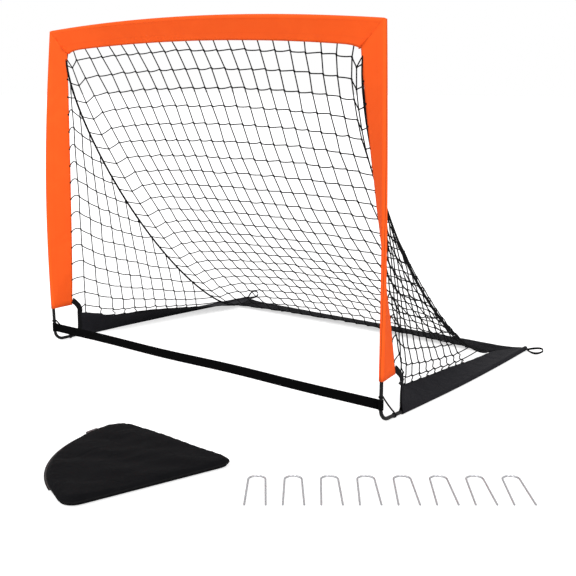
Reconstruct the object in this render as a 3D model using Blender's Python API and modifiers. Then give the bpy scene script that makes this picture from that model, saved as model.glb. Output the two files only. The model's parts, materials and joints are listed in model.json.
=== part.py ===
"""Pop-up soccer goal with its ground pegs and carry bag, for Blender 4.5.

Metres, +Z up. The goal's mouth faces -Y and its net runs back along +Y. The goal is drawn about
the middle of its mouth, and at the end the whole set is centred on the world's origin.
"""
import math

import bmesh
import bpy
from mathutils import Matrix, Vector

# Goal frame, along the centre line of its tubes and rods
half_width = 0.5895
corner_height = 0.897
base_depth = 0.805
top_inset = 0.0225
top_setback = 0.019
rear_inset = 0.0505
crossbar_bow = 0.023
post_bow = 0.012
post_front_bow = 0.010
base_bow = 0.010
bend_radius = 0.028
hem_wall = 0.002

# Tubes and rods
tube_radius = 0.0045
rod_radius = 0.0035
fit = 0.0003
tube_top = 0.135
tube_back = 0.125
socket_depth = 0.030
elbow_leg = 0.048
elbow_stop = 0.014
ferrule_length = 0.070
tip_length = 0.012
tip_radius = 0.0040
round_sides = 10
rod_stations = 10
bend_stations = 6

# Fabric sleeves on the front arch
sleeve_width = 0.065
crossbar_width = 0.055
sleeve_foot = 0.102
fabric = 0.0022
pocket_wall = 0.0013
sleeve_stations = 11
sleeve_neck = 2.1
sleeve_turn = math.radians(92)
sleeve_turn_curl = 1.08
crossbar_tilt = math.radians(12)
seam = 0.00025

# Skirts on the ground
skirt_front = 0.086
skirt_width = 0.066
skirt_end_width = 0.016
skirt_lean = math.radians(90)
skirt_rise = math.radians(56)
skirt_rise_length = 0.045
skirt_roll = math.radians(55)
mitre_length = 0.100
mitre_gap = 0.0012
skirt_stations = 14
rear_skirt_bow = 0.012
rear_skirt_rise = 0.008
rear_fold = 0.002
rear_folds = 5
hem_flat = 0.0024

# Webbing, tape and cords
strap_height = 0.045
strap_width = 0.024
strap_thickness = 0.0016
strap_gap = 0.0007
tape_width = 0.016
tape_thickness = 0.0018
tape_lap = 0.014
tape_seat = 0.0006
tape_foot = 0.014
tape_lift = 0.0024
tape_bend = (0.0, 0.020, -0.004)
corner_cord_radius = 0.0015
corner_cord_up = 0.064
corner_cord_back = 0.056
edge_cord_radius = 0.0028
edge_cord_sag = 0.136
edge_cord_skew = 0.05
edge_cord_fullness = 0.68
edge_cord_inward = 0.019
edge_cord_foot = (0.0, -0.004, 0.007)
edge_cord_seat = (0.0095, 0.0100, -0.0010)

# Nets
twine = 0.0024
rear_cells = 15
side_cells = 11
rear_net_sag = 0.096
rear_net_fall = (0.0, 0.75, 0.66)
knot_gap = 0.0006
rear_cord_gap = 0.0012
side_net_top = 0.800
side_net_corner = 0.1
side_net_start = 0.030
side_net_end = 0.006
side_net_lift = 0.002
side_net_join = 0.016
cord_gap = 0.0090
cord_first = 0.02
cord_last = 0.98

# Peg loops at the rear corners
loop_length = 0.064
loop_width = 0.024
loop_wall = 0.0018
loop_height = 0.010
loop_heading = {"left": math.radians(100), "right": math.radians(-22)}
loop_gap = 0.0006
loop_side = 0.0016
loop_forward = 0.006

# Ground pegs
peg_count = 8
peg_length = 0.145
peg_width = 0.034
peg_splay = 0.003
peg_wire = 0.002
peg_pitch = 0.0717
peg_row_start = (0.636, -0.484)
row_heading = math.radians(39.7)

# Carry bag
bag_place = (0.359, -0.526)
bag_corners = ((-0.077, 0.243, 0.045), (0.195, -0.005, 0.026), (-0.111, -0.231, 0.028),
               (-0.234, 0.023, 0.330))
bag_arc_steps = 7
bag_height = 0.020
bag_seam_height = 0.009
bag_rings = ((0.30, 0), (0.955, 0), (0.99, 0.18), (1.0, 0.45), (0.985, 0.66), (0.93, 0.85), (0.75, 0.97),
             (0.30, 1.0))
zip_width = 0.006
zip_thickness = 0.0024
slider_size = (0.008, 0.012, 0.0040)
puller_size = (0.005, 0.020, 0.0012)
tab_size = (0.008, 0.015, 0.0020)

# The fold: the arch turns about the front corners
fold_back = 0.035
fold_height = 0.035

SIDES = (("left", -1), ("right", 1))
ground_line = tube_radius + hem_wall
bend_top = ground_line + bend_radius
pocket_bore = (tube_radius + 0.0004) / math.cos(math.pi / round_sides)
pocket_radius = (tube_radius + 0.0004 + pocket_wall) / math.cos(math.radians(20))
socket_bore = (rod_radius + fit) / math.cos(math.pi / round_sides)

loop_seat = {"left": (0, loop_gap, 0), "right": (pocket_radius + loop_gap + loop_side, -loop_forward, 0)}

BLACK_CLOTH = (0.018, 0.018, 0.020)
BLACK_CORD = (0.012, 0.012, 0.013)
BLACK_STEEL = (0.020, 0.020, 0.022)
ORANGE_CLOTH = (1.000, 0.115, 0.018)


def clear_scene():
    for item in list(bpy.data.objects):
        bpy.data.objects.remove(item, do_unlink=True)


def new_collection(name):
    group = bpy.data.collections.new(name)
    bpy.context.scene.collection.children.link(group)
    return group


def new_material(name, colour, roughness, metallic=0.0):
    material = bpy.data.materials.new(name)
    material.use_nodes = True
    shader = material.node_tree.nodes["Principled BSDF"]
    shader.inputs["Base Color"].default_value = (*colour, 1.0)
    shader.inputs["Roughness"].default_value = roughness
    shader.inputs["Metallic"].default_value = metallic
    return material


def new_empty(name, group, place, parent=None):
    empty = bpy.data.objects.new(name, None)
    empty.empty_display_size = 0.05
    empty.location = place
    empty.parent = parent
    group.objects.link(empty)
    return empty


def new_part(name, data, group, parent, look, offset=(0, 0, 0)):
    """Adds a piece drawn in the goal's frame under its parent empty."""
    colour, roughness, metallic = look
    part = bpy.data.objects.new(name, data)
    data.materials.append(new_material(name, colour, roughness, metallic))
    part.parent = parent
    part.location = -Vector(offset)
    group.objects.link(part)
    return part


def tangent(path, t, step=0.002):
    return (path(t + step) - path(t - step)).normalized()


def across(direction, along):
    """The part of a direction that is square to the path."""
    return (direction - along * direction.dot(along)).normalized()


def spread(start, end, count):
    return [start + (end - start) * i / count for i in range(count + 1)]


# Centre lines of the right half, which are mirrored for the left


def post_point(t):
    """The right post, from the bend at 0 to the top corner at 1."""
    bow = math.sin(math.pi * t)
    x = half_width - top_inset * t + post_bow * bow
    y = top_setback * t - post_front_bow * bow
    return Vector((x, y, bend_top + (corner_height - bend_top) * t))


def post_at(height):
    return (height - bend_top) / (corner_height - bend_top)


def crossbar_point(t):
    """The crossbar, from the left corner at -1 to the right corner at 1."""
    x = (half_width - top_inset) * t
    return Vector((x, top_setback, corner_height + crossbar_bow * (1 - t * t)))


def base_point(t):
    """The right base rod, from the bend at 0 to its rear tip at 1."""
    x = half_width - rear_inset * t + base_bow * math.sin(math.pi * t)
    return Vector((x, bend_radius + (base_depth - bend_radius) * t, ground_line))


def base_at(back):
    return (back - bend_radius) / (base_depth - bend_radius)


def post_band(t):
    """Direction of the post sleeve's band: back at its foot, inward at the top."""
    turn = sleeve_turn * max(1 - t, 0.0) ** sleeve_turn_curl
    return across(Vector((-math.cos(turn), math.sin(turn), 0)), tangent(post_point, t))


def crossbar_band(t):
    lean = crossbar_tilt * (1 - t ** 4)
    return across(Vector((0, math.sin(lean), -math.cos(lean))), tangent(crossbar_point, t))


def skirt_band(t):
    """Direction of the side skirt's band: up at the front, flat on the ground behind."""
    back = max(base_point(t).y - skirt_front, 0.0)
    lean = skirt_rise * (1 - math.exp(-back / skirt_rise_length)) + skirt_roll * back
    lean = min(lean, skirt_lean)
    return across(Vector((-math.sin(lean), 0, math.cos(lean))), tangent(base_point, t))


def skirt_reach(t):
    """Width of the side skirt, which narrows to the rear corner along the mitre."""
    back = base_point(t).y
    share = (back - (base_depth - mitre_length)) / mitre_length
    return skirt_width + (skirt_end_width - skirt_width) * min(max(share, 0.0), 1.0)


def skirt_tip(t):
    return base_point(t) + skirt_band(t) * skirt_reach(t)


# Outlines across a path: distance along the band, distance across it


def circle_outline(radius, count=round_sides):
    turn = 2 * math.pi / count
    return [(radius * math.cos(turn * i), radius * math.sin(turn * i)) for i in range(count)]


def sleeve_outline(width):
    """A pocket round the tube with a flat band on one side."""
    half = fabric / 2
    neck = sleeve_neck * pocket_radius
    pocket = [(pocket_radius * math.cos(math.radians(a)), pocket_radius * math.sin(math.radians(a)))
              for a in range(60, 301, 40)]
    return [(width, half), (neck, half)] + pocket + [(neck, -half), (width, -half)]


def strip_outline(width, thickness):
    return [(width / 2, thickness / 2), (-width / 2, thickness / 2),
            (-width / 2, -thickness / 2), (width / 2, -thickness / 2)]


def ring(centre, along, band, outline):
    side = along.cross(band).normalized()
    return [centre + band * a + side * b for a, b in outline]


def mitred(points, centre, along, normal):
    """Slides a ring's points along the path onto a sloping end plane."""
    return [p - along * ((p - centre).dot(normal) / along.dot(normal)) for p in points]


def wall_faces(low, high):
    """Triangles between two rings. The two faces of a thin band are split alike."""
    for i in range(len(low)):
        j = (i + 1) % len(low)
        if 2 * i < len(low):
            yield low[i], low[j], high[j]
            yield low[i], high[j], high[i]
        else:
            yield low[i], low[j], high[i]
            yield low[j], high[j], high[i]


def loft(name, outer, bore=None, mirror=False):
    """Skins rings of points into one closed body, with an optional bore."""
    mesh = bmesh.new()
    ends = ([], [])
    for rings in (outer, bore):
        if not rings:
            continue
        rows = [[mesh.verts.new(p) for p in points] for points in rings]
        for low, high in zip(rows, rows[1:]):
            for corners in wall_faces(low, high):
                mesh.faces.new(corners)
        for end, row in zip(ends, (rows[0], rows[-1])):
            end.extend(mesh.edges.get((row[i - 1], row[i])) for i in range(len(row)))
    for end in ends:
        bmesh.ops.triangle_fill(mesh, use_beauty=True, use_dissolve=False, edges=end)
    if mirror:
        bmesh.ops.scale(mesh, vec=(-1, 1, 1), verts=mesh.verts)
    bmesh.ops.recalc_face_normals(mesh, faces=mesh.faces)
    return finish_mesh(name, mesh)


def finish_mesh(name, mesh, angle=40):
    data = bpy.data.meshes.new(name)
    mesh.to_mesh(data)
    mesh.free()
    data.shade_smooth()
    data.set_sharp_from_angle(angle=math.radians(angle))
    return data


def wire(name, points, radius, resolution=1, mirror=False):
    """A round rod, cord or wire along a list of points."""
    data = bpy.data.curves.new(name, "CURVE")
    data.dimensions = "3D"
    data.bevel_depth = radius
    data.bevel_resolution = resolution
    data.use_fill_caps = True
    spline = data.splines.new("POLY")
    spline.points.add(len(points) - 1)
    for slot, point in zip(spline.points, points):
        x = -point[0] if mirror else point[0]
        slot.co = (x, point[1], point[2], 1.0)
    spline.use_smooth = True
    return data


def flat_shape(name, outlines, height):
    """A flat outline with holes, extruded to its height about its own plane."""
    data = bpy.data.curves.new(name, "CURVE")
    data.dimensions = "2D"
    data.fill_mode = "BOTH"
    data.extrude = height / 2
    for outline in outlines:
        spline = data.splines.new("POLY")
        spline.points.add(len(outline) - 1)
        for slot, point in zip(spline.points, outline):
            slot.co = (point[0], point[1], 0.0, 1.0)
        spline.use_cyclic_u = True
    return data


def box_mesh(name, size, centre=(0, 0, 0)):
    mesh = bmesh.new()
    bmesh.ops.create_cube(mesh, size=1.0)
    bmesh.ops.scale(mesh, vec=size, verts=mesh.verts)
    bmesh.ops.translate(mesh, vec=centre, verts=mesh.verts)
    return finish_mesh(name, mesh)


def arc(centre, radius, start, end, count):
    return [(centre[0] + radius * math.cos(a), centre[1] + radius * math.sin(a))
            for a in spread(math.radians(start), math.radians(end), count)]


# Front arch


def corner_frame():
    """The right top corner: its place, both directions and the normal of the sleeves' seam."""
    place = post_point(1)
    rising = tangent(post_point, 1)
    leaving = -tangent(crossbar_point, 1)
    return place, rising, leaving, (rising * sleeve_width + leaving * crossbar_width).normalized()


def hollow_rings(stations, outline, bore):
    outer = [ring(place, along, band, outline) for place, along, band in stations]
    inner = [ring(place, along, band, bore) for place, along, band in stations]
    return outer, inner


def build_elbows(add):
    place, rising, leaving, _ = corner_frame()
    half_way = (rising + leaving).normalized()
    low = place - rising * elbow_leg
    far = place + leaving * elbow_leg
    shapes = []
    for outline in (circle_outline(tube_radius), circle_outline(socket_bore)):
        inward = across(Vector((0, 1, 0)), rising)
        bottom = ring(low, rising, inward, outline)
        corner = mitred(ring(place, rising, inward, outline), place, rising, half_way)
        end = ring(far, leaving, across(Vector((0, 1, 0)), leaving), outline)
        shapes.append([bottom, corner, end])
    for side, sign in SIDES:
        name = "top_corner_elbow_" + side
        add(name, loft(name, shapes[0], shapes[1], mirror=sign < 0))


def build_arch_rods(add):
    """Post rods from the corner tube to the elbow, and the two crossbar rods."""
    stop = elbow_stop / (corner_height - bend_top)
    post = [post_point(t) for t in spread(post_at(tube_top - socket_depth), 1 - stop, rod_stations)]
    bar_end = 1 - elbow_stop / (half_width - top_inset)
    bar_start = fit / (half_width - top_inset) / 2
    bar = [crossbar_point(t) for t in spread(bar_start, bar_end, rod_stations - 2)]
    for side, sign in SIDES:
        add("post_rod_" + side, wire("post_rod_" + side, post, rod_radius, mirror=sign < 0))
        add("crossbar_rod_" + side, wire("crossbar_rod_" + side, bar, rod_radius, mirror=sign < 0))


def build_ferrule(add):
    reach = ferrule_length / 2 / (half_width - top_inset)
    stations = [(crossbar_point(t), tangent(crossbar_point, t), Vector((0, 1, 0)))
                for t in (-reach, reach)]
    outer, bore = hollow_rings(stations, circle_outline(tube_radius), circle_outline(socket_bore))
    add("crossbar_ferrule", loft("crossbar_ferrule", outer, bore))


def build_post_sleeves(add):
    place, rising, _, seam_normal = corner_frame()
    stations = [(post_point(t), tangent(post_point, t), post_band(t))
                for t in spread(post_at(sleeve_foot), 1, sleeve_stations)]
    outer, bore = hollow_rings(stations, sleeve_outline(sleeve_width), circle_outline(pocket_bore))
    end = place - rising * seam
    for rings in (outer, bore):
        rings[-1] = mitred([p - rising * seam for p in rings[-1]], end, rising, seam_normal)
    for side, sign in SIDES:
        name = "post_sleeve_" + side
        add(name, loft(name, outer, bore, mirror=sign < 0))


def build_crossbar_sleeve(add):
    place, _, leaving, seam_normal = corner_frame()
    stations = [(crossbar_point(t), tangent(crossbar_point, t), crossbar_band(t))
                for t in spread(1, -1, sleeve_stations + 3)]
    outer, bore = hollow_rings(stations, sleeve_outline(crossbar_width), circle_outline(pocket_bore))
    flip = Vector((-1, 1, 1))
    for rings in (outer, bore):
        end = place + leaving * seam
        rings[0] = mitred([p + leaving * seam for p in rings[0]], end, leaving, seam_normal)
        end, along, normal = end * flip, leaving * flip, seam_normal * flip
        rings[-1] = mitred([p + along * seam for p in rings[-1]], end, along, normal)
    add("crossbar_sleeve", loft("crossbar_sleeve", outer, bore))


# Base


def build_corner_tubes(add):
    """Bare steel tubes round the bottom corners, open at both ends for the rods."""
    x_axis = Vector((1, 0, 0))
    stations = []
    for t in spread(post_at(tube_top), 0, 3)[:-1]:
        along = -tangent(post_point, t)
        stations.append((post_point(t), along, across(x_axis, along)))
    middle = Vector((half_width, bend_radius, bend_top))
    for turn in spread(0, math.radians(90), bend_stations):
        out = Vector((0, -math.cos(turn), -math.sin(turn)))
        along = Vector((0, math.sin(turn), -math.cos(turn)))
        stations.append((middle + out * bend_radius, along, x_axis))
    for t in spread(0, base_at(tube_back), 2)[1:]:
        along = tangent(base_point, t)
        stations.append((base_point(t), along, across(x_axis, along)))
    outer, bore = hollow_rings(stations, circle_outline(tube_radius), circle_outline(socket_bore))
    for side, sign in SIDES:
        name = "corner_tube_" + side
        add(name, loft(name, outer, bore, mirror=sign < 0))


def build_base_rods(add):
    start = base_at(tube_back - socket_depth)
    end = base_at(base_depth - tip_length - fit)
    path = [base_point(t) for t in spread(start, end, rod_stations)]
    tip = [base_point(base_at(base_depth - tip_length)), base_point(1)]
    for side, sign in SIDES:
        add("base_rod_" + side, wire("base_rod_" + side, path, rod_radius, mirror=sign < 0))
        add("rod_tip_" + side, wire("rod_tip_" + side, tip, tip_radius, mirror=sign < 0))


def seat_on_ground(points):
    """Flattens the underside of a hem so that it rests on the ground."""
    return [Vector((p.x, p.y, 0.0 if p.z < hem_flat else p.z)) for p in points]


def build_side_skirts(add):
    outer = []
    bore = []
    start = base_at(skirt_front)
    for share in spread(0, 1, skirt_stations):
        t = start + (1 - start) * share ** 2
        along = tangent(base_point, t)
        band = skirt_band(t)
        outer.append(seat_on_ground(ring(base_point(t), along, band, sleeve_outline(skirt_reach(t)))))
        bore.append(ring(base_point(t), along, band, circle_outline(pocket_bore)))
    for side, sign in SIDES:
        name = "side_skirt_" + side
        add(name, loft(name, outer, bore, mirror=sign < 0))


def mitre_corner():
    """Inner corner where the side skirt's edge meets the rear skirt's edge."""
    return skirt_tip(base_at(base_depth - mitre_length))


def rear_edges(u):
    """Outer and inner edge of the rear skirt at u from -1 to 1."""
    inner = mitre_corner()
    corner = skirt_tip(1)
    middle = 1 - u * u
    fold = rear_fold * math.sin(rear_folds * math.pi * u) * (1 - u ** 4)
    low = Vector(((corner.x - mitre_gap) * u, corner.y, fabric / 2 + (corner.z - fabric / 2) * u ** 16))
    high = Vector(((inner.x - mitre_gap) * u, inner.y + rear_skirt_bow * middle, inner.z))
    high.z += rear_skirt_rise * middle + fold
    return low, high


def build_rear_skirt(add):
    rings = []
    for u in spread(-1, 1, rear_cells):
        low, high = rear_edges(u)
        band = (high - low).normalized()
        lift = Vector((1, 0, 0)).cross(band).normalized() * (fabric / 2)
        rings.append([low - lift, high - lift, high + lift, low + lift])
    for points in rings:
        points[0].z = max(points[0].z, 0.0)
    add("rear_skirt", loft("rear_skirt", rings))


def build_front_strap(add, offset):
    """Webbing across the mouth, sewn into a ring round each corner tube."""
    centre = post_point(post_at(strap_height))
    hole = tube_radius + strap_gap
    ring_radius = hole + strap_thickness
    open_angle = math.degrees(math.asin(strap_thickness / ring_radius)) / 2
    right = arc((centre.x, 0), ring_radius, -180 + open_angle, 180 - open_angle, 12)
    left = [(-x, -y) for x, y in right]
    holes = [arc((centre.x * sign, 0), hole, 0, 330, 11) for _, sign in SIDES]
    data = flat_shape("front_strap", [right + left] + holes, strap_width)
    strap = add("front_strap", data)
    strap.location = Vector((0, centre.y, strap_height)) - Vector(offset)


def tape_foot_edge():
    """Ends of the short stretch of the skirt's top edge that the tape is sewn to."""
    return skirt_tip(base_at(skirt_front)), skirt_tip(base_at(skirt_front + tape_foot))


def tape_path(s):
    """Binding from the sleeve's foot, curving back and down to the skirt."""
    start = sleeve_edge(sleeve_foot + tape_lap, tape_seat)
    near, far = tape_foot_edge()
    end = near.lerp(far, 0.5) + Vector((0, 0, tape_lift))
    corner = start.lerp(end, 0.5) + Vector(tape_bend)
    return start.lerp(corner, s).lerp(corner.lerp(end, s), s)


def tape_band(s):
    """Direction across the tape, from its front edge to its back edge."""
    near, far = tape_foot_edge()
    upper = Vector((0, 1, 1)).normalized()
    return across(upper.lerp((far - near).normalized(), s), tangent(tape_path, s))


def build_binding_tapes(add):
    outline = strip_outline(tape_width, tape_thickness)
    rings = []
    for s in spread(0, 1, 7):
        rings.append(ring(tape_path(s), tangent(tape_path, s), tape_band(s), outline))
    rings[0] = mitred(rings[0], tape_path(0), tangent(tape_path, 0), Vector((0, 1, 0)))
    rings[-1] = mitred(rings[-1], tape_path(1), tangent(tape_path, 1), Vector((0, 0, 1)))
    for side, sign in SIDES:
        name = "binding_tape_" + side
        add(name, loft(name, rings, mirror=sign < 0))


def build_corner_cords(add):
    """Thin cord across each bottom corner, from the upright to the ground tube."""
    clear = tube_radius + 0.7 * corner_cord_radius + fit
    high = post_point(post_at(corner_cord_up)) + Vector((0, clear, 0))
    low = base_point(base_at(corner_cord_back)) + Vector((0, 0, clear))
    for side, sign in SIDES:
        name = "corner_cord_" + side
        add(name, wire(name, [high, low], corner_cord_radius, mirror=sign < 0))


# Edge cords and nets


def edge_cord_start():
    place, rising, leaving, seam_normal = corner_frame()
    centre = place - rising * seam
    tip = centre + post_band(1) * sleeve_width
    inner = mitred([tip], centre, rising, seam_normal)[0]
    clear = edge_cord_radius + 2 * fit
    return inner + Vector((-clear, 0, -clear)) + Vector(edge_cord_seat)


def edge_cord(t):
    """The sagging cord from the top corner at 0 to the rear corner at 1."""
    start = edge_cord_start()
    end = mitre_corner() + Vector(edge_cord_foot)
    slope = (end - start).normalized()
    sideways = Vector((1, 0, 0))
    down = slope.cross(sideways).normalized()
    if down.z > 0:
        down = -down
    share = max(4 * t * (1 - t), 0.0)
    sag = edge_cord_sag * share ** edge_cord_fullness * (1 + edge_cord_skew * (t - 0.5))
    return start.lerp(end, t) + down * sag - sideways * (edge_cord_inward * share)


def build_edge_cords(add):
    path = [edge_cord(t) for t in spread(0, 1, rear_cells)]
    for side, sign in SIDES:
        name = "edge_cord_" + side
        add(name, wire(name, path, edge_cord_radius, mirror=sign < 0))


def rear_hem(u):
    """Where the rear net's last row meets the rear skirt."""
    low, high = rear_edges(u)
    return high + (high - low).normalized() * (twine / 2 + 2 * fit)


def rear_net_point(u, v):
    """The rear net's surface: u from -1 to 1 across, v from 0 at the top to 1."""
    edge = edge_cord(v)
    top = crossbar_point(0) + crossbar_band(0) * (crossbar_width + twine / 2 + fit)
    bottom = rear_hem(0)
    middle = top.lerp(bottom, v) - Vector(rear_net_fall) * (4 * rear_net_sag * v * (1 - v))
    if v == 0:
        edge = crossbar_point(1) + crossbar_band(1) * (crossbar_width + twine / 2 + fit)
        edge.x = edge_cord(0).x - edge_cord_seat[0]
    if v == 1:
        return rear_hem(u)
    reach = edge.x - (edge_cord_radius + twine / 2 + rear_cord_gap)
    share = u * u
    return Vector((reach * u, middle.y + (edge.y - middle.y) * share,
                   middle.z + (edge.z - middle.z) * share))


def net_part(add, name, mesh):
    part = add(name, finish_mesh(name, mesh))
    strands = part.modifiers.new("Twine", "WIREFRAME")
    strands.thickness = twine
    strands.use_even_offset = False
    strands.use_boundary = True
    strands.use_replace = True
    return part


def build_rear_net(add):
    mesh = bmesh.new()
    bmesh.ops.create_grid(mesh, x_segments=rear_cells, y_segments=rear_cells, size=1.0)
    for vert in mesh.verts:
        v = round((1 - vert.co.y) / 2 * rear_cells) / rear_cells
        vert.co = rear_net_point(vert.co.x, v)
    net_part(add, "rear_net", mesh)


def side_net_front(b):
    """Front edge of the side net: up the tape, then up the sleeve's inner edge."""
    gap = twine / 2 + fit + knot_gap
    if b >= 1:
        low = sleeve_edge(side_net_top, gap)
        near = min((edge_cord(t / 100) for t in range(40)), key=lambda p: abs(p.z - side_net_top))
        return low.lerp(near, side_net_corner)
    bottom = tape_path(1).z + side_net_lift
    height = bottom + (side_net_top - bottom) * b
    join = tape_path(0).z + side_net_join
    if height >= join:
        return sleeve_edge(height, gap)
    s = 1 - (height - bottom) / (join - bottom)
    return tape_path(s) + tape_band(s) * (tape_width / 2 + gap)


def sleeve_edge(height, gap):
    t = post_at(height)
    return post_point(t) + post_band(t) * (sleeve_width + gap)


def side_net_bottom(a):
    """Bottom edge of the side net, along the top of the side skirt."""
    start = base_at(skirt_front + side_net_start)
    end = base_at(base_depth - mitre_length - side_net_end)
    t = start + (end - start) * a
    gap = twine / 2 + fit + knot_gap
    return base_point(t) + skirt_band(t) * (skirt_reach(t) + gap)


def side_net_cord(s):
    """Rear edge of the side net, in front of and below the edge cord."""
    if s <= 0:
        return side_net_front(1)
    if s >= 1:
        return side_net_bottom(1)
    eased = (s + s * s * (3 - 2 * s)) / 2
    t = cord_first + (cord_last - cord_first) * eased
    slope = tangent(edge_cord, t)
    down = slope.cross(Vector((1, 0, 0))).normalized()
    if down.z > 0:
        down = -down
    return edge_cord(t) + down * cord_gap + Vector((0.002, 0, 0))


def side_net_point(a, b):
    first = side_net_front(0)
    s = a / (a + b) if a + b else 0.0
    flat = side_net_bottom(a) + side_net_front(b) - first
    edge = side_net_bottom(s) + side_net_front(1 - s) - first
    return flat + (side_net_cord(s) - edge) * (a + b) ** 2


def build_side_nets(add):
    for side, sign in SIDES:
        mesh = bmesh.new()
        knots = {}
        for i in range(side_cells + 1):
            for j in range(side_cells + 1 - i):
                place = side_net_point(i / side_cells, j / side_cells)
                knots[i, j] = mesh.verts.new((place.x * sign, place.y, place.z))
        for i in range(side_cells):
            for j in range(side_cells - i):
                corners = [knots[i, j], knots[i + 1, j], knots[i, j + 1]]
                if i + j < side_cells - 1:
                    corners.insert(2, knots[i + 1, j + 1])
                mesh.faces.new(corners)
        bmesh.ops.recalc_face_normals(mesh, faces=mesh.faces)
        net_part(add, "side_net_" + side, mesh)


# Loose pieces on the ground


def build_peg_loops(group, origin):
    """Webbing loops at the rear corners, each turning about its sewn end."""
    half = loop_width / 2
    far = loop_length - loop_width
    for side, sign in SIDES:
        outlines = []
        for inset in (0, loop_wall):
            ends = arc((half + far, 0), half - inset, -90, 90, 8)
            ends += arc((half, 0), half - inset, 90, 270, 8)
            outlines.append(ends)
        data = flat_shape("peg_loop_" + side, outlines, loop_height)
        corner = base_point(1)
        heading = loop_heading[side]
        place = Vector((corner.x * sign, corner.y, loop_height / 2 + fit))
        place += Vector(loop_seat[side])
        loop = new_part("peg_loop_" + side, data, group, origin, (BLACK_CORD, 0.85, 0.0))
        loop.location = place
        loop.rotation_euler = (0, 0, heading)


def build_pegs(group, origin):
    """Hairpin pegs of round wire, lying in a row with their legs to the viewer."""
    half = peg_width / 2
    leg = peg_length - half - peg_wire
    bend = arc((0, 0), half, 180, 0, 6)
    path = [(-half - peg_splay, -leg)] + bend + [(half + peg_splay, -leg)]
    points = [(x, y + leg / 2, peg_wire) for x, y in path]
    along = Vector((math.cos(row_heading), math.sin(row_heading), 0))
    for i in range(peg_count):
        name = f"peg_{i + 1}"
        data = wire(name, points, peg_wire)
        peg = new_part(name, data, group, origin, ((0.62, 0.62, 0.63), 0.25, 1.0))
        peg.location = Vector((*peg_row_start, 0)) + along * (peg_pitch * i)
        peg.rotation_euler = (0, 0, row_heading)


def bag_arc(i):
    """Centre, first point and sweep of the rounding at one corner of the bag."""
    x, y, radius = bag_corners[i]
    place = Vector((x, y))
    before = (Vector(bag_corners[i - 1][:2]) - place).normalized()
    after = (Vector(bag_corners[(i + 1) % len(bag_corners)][:2]) - place).normalized()
    opening = before.angle(after)
    centre = place + (before + after).normalized() * (radius / math.sin(opening / 2))
    start = place + before * (radius / math.tan(opening / 2))
    return centre, start - centre, opening - math.pi


def bag_outline():
    """Rounded outline of the bag, clockwise, in the bag's own frame."""
    points = []
    for i in range(len(bag_corners)):
        centre, spoke, sweep = bag_arc(i)
        points.extend(centre + Matrix.Rotation(turn, 2) @ spoke for turn in spread(0, sweep, bag_arc_steps))
    return points


def build_bag(group, origin):
    outline = bag_outline()
    middle = sum(outline, Vector((0, 0))) / len(outline)
    rings = []
    for share, height in bag_rings:
        rings.append([Vector((*(middle + (p - middle) * share), bag_height * height))
                      for p in outline])
    bag_empty = new_empty("bag_place", group, (*bag_place, 0), origin)
    bag_empty.rotation_euler = (0, 0, row_heading)
    new_part("carry_bag", loft("carry_bag", rings), group, bag_empty, (BLACK_CLOTH, 0.9, 0.0))
    tab = new_part("bag_tab", box_mesh("bag_tab", tab_size), group, bag_empty,
                   (BLACK_CORD, 0.85, 0.0))
    tip = max(outline, key=lambda p: p.y)
    tab.location = (tip.x, tip.y + tab_size[1] / 2 + fit, bag_seam_height)
    build_zip(group, bag_empty)


def build_zip(group, bag_empty):
    """Zip round the bag's curved side. Its slider turns about the arc's centre."""
    centre, spoke, sweep = bag_arc(3)
    reach = spoke.length + fit + zip_width / 2
    up = Vector((0, 0, 1))
    rings = []
    for turn in spread(0, sweep, bag_arc_steps):
        out = (Matrix.Rotation(turn, 2) @ spoke).normalized().to_3d()
        rings.append(ring(out * reach, out.cross(up), out, strip_outline(zip_width, zip_thickness)))
    zip_empty = new_empty("zip_pivot", group, (*centre, bag_seam_height), bag_empty)
    new_part("bag_zip", loft("bag_zip", rings), group, zip_empty, (BLACK_CLOTH, 0.5, 0.0))
    slider = new_part("zip_slider", slider_mesh(reach), group, zip_empty,
                      ((0.10, 0.10, 0.11), 0.35, 1.0))
    slider.location = (0, 0, zip_thickness / 2 + fit)
    slider.rotation_euler = (0, 0, math.atan2(spoke.y, spoke.x) + sweep + 2 * slider_size[1] / reach)


def slider_mesh(reach):
    """Slider body with its puller, standing on the zip at a distance from the pivot."""
    width, length, height = slider_size
    narrow, puller, thin = puller_size
    mesh = bmesh.new()
    bmesh.ops.create_cube(mesh, size=1.0)
    bmesh.ops.scale(mesh, vec=slider_size, verts=mesh.verts)
    bmesh.ops.translate(mesh, vec=(reach, 0, height / 2), verts=mesh.verts)
    end = [face for face in mesh.faces if face.normal.y < -0.9]
    grown = bmesh.ops.extrude_face_region(mesh, geom=end)
    tip = [item for item in grown["geom"] if isinstance(item, bmesh.types.BMVert)]
    bmesh.ops.delete(mesh, geom=end, context="FACES_ONLY")
    for vert in tip:
        vert.co.x = reach + (vert.co.x - reach) * narrow / width
        vert.co.y -= puller
        vert.co.z = height - thin if vert.co.z < height / 2 else height
    bmesh.ops.recalc_face_normals(mesh, faces=mesh.faces)
    return finish_mesh("zip_slider", mesh)


def centre_on_ground(origin, parts):
    """Moves the whole set so that its box is centred on the world's origin."""
    bpy.context.view_layer.update()
    graph = bpy.context.evaluated_depsgraph_get()
    corners = []
    for part in parts:
        shown = part.evaluated_get(graph)
        mesh = shown.to_mesh()
        corners.extend(shown.matrix_world @ vert.co for vert in mesh.vertices)
        shown.to_mesh_clear()
    for axis in (0, 1):
        values = [corner[axis] for corner in corners]
        origin.location[axis] = -(min(values) + max(values)) / 2
    bpy.context.view_layer.update()
    print("goal origin", [round(value, 5) for value in origin.location])


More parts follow.
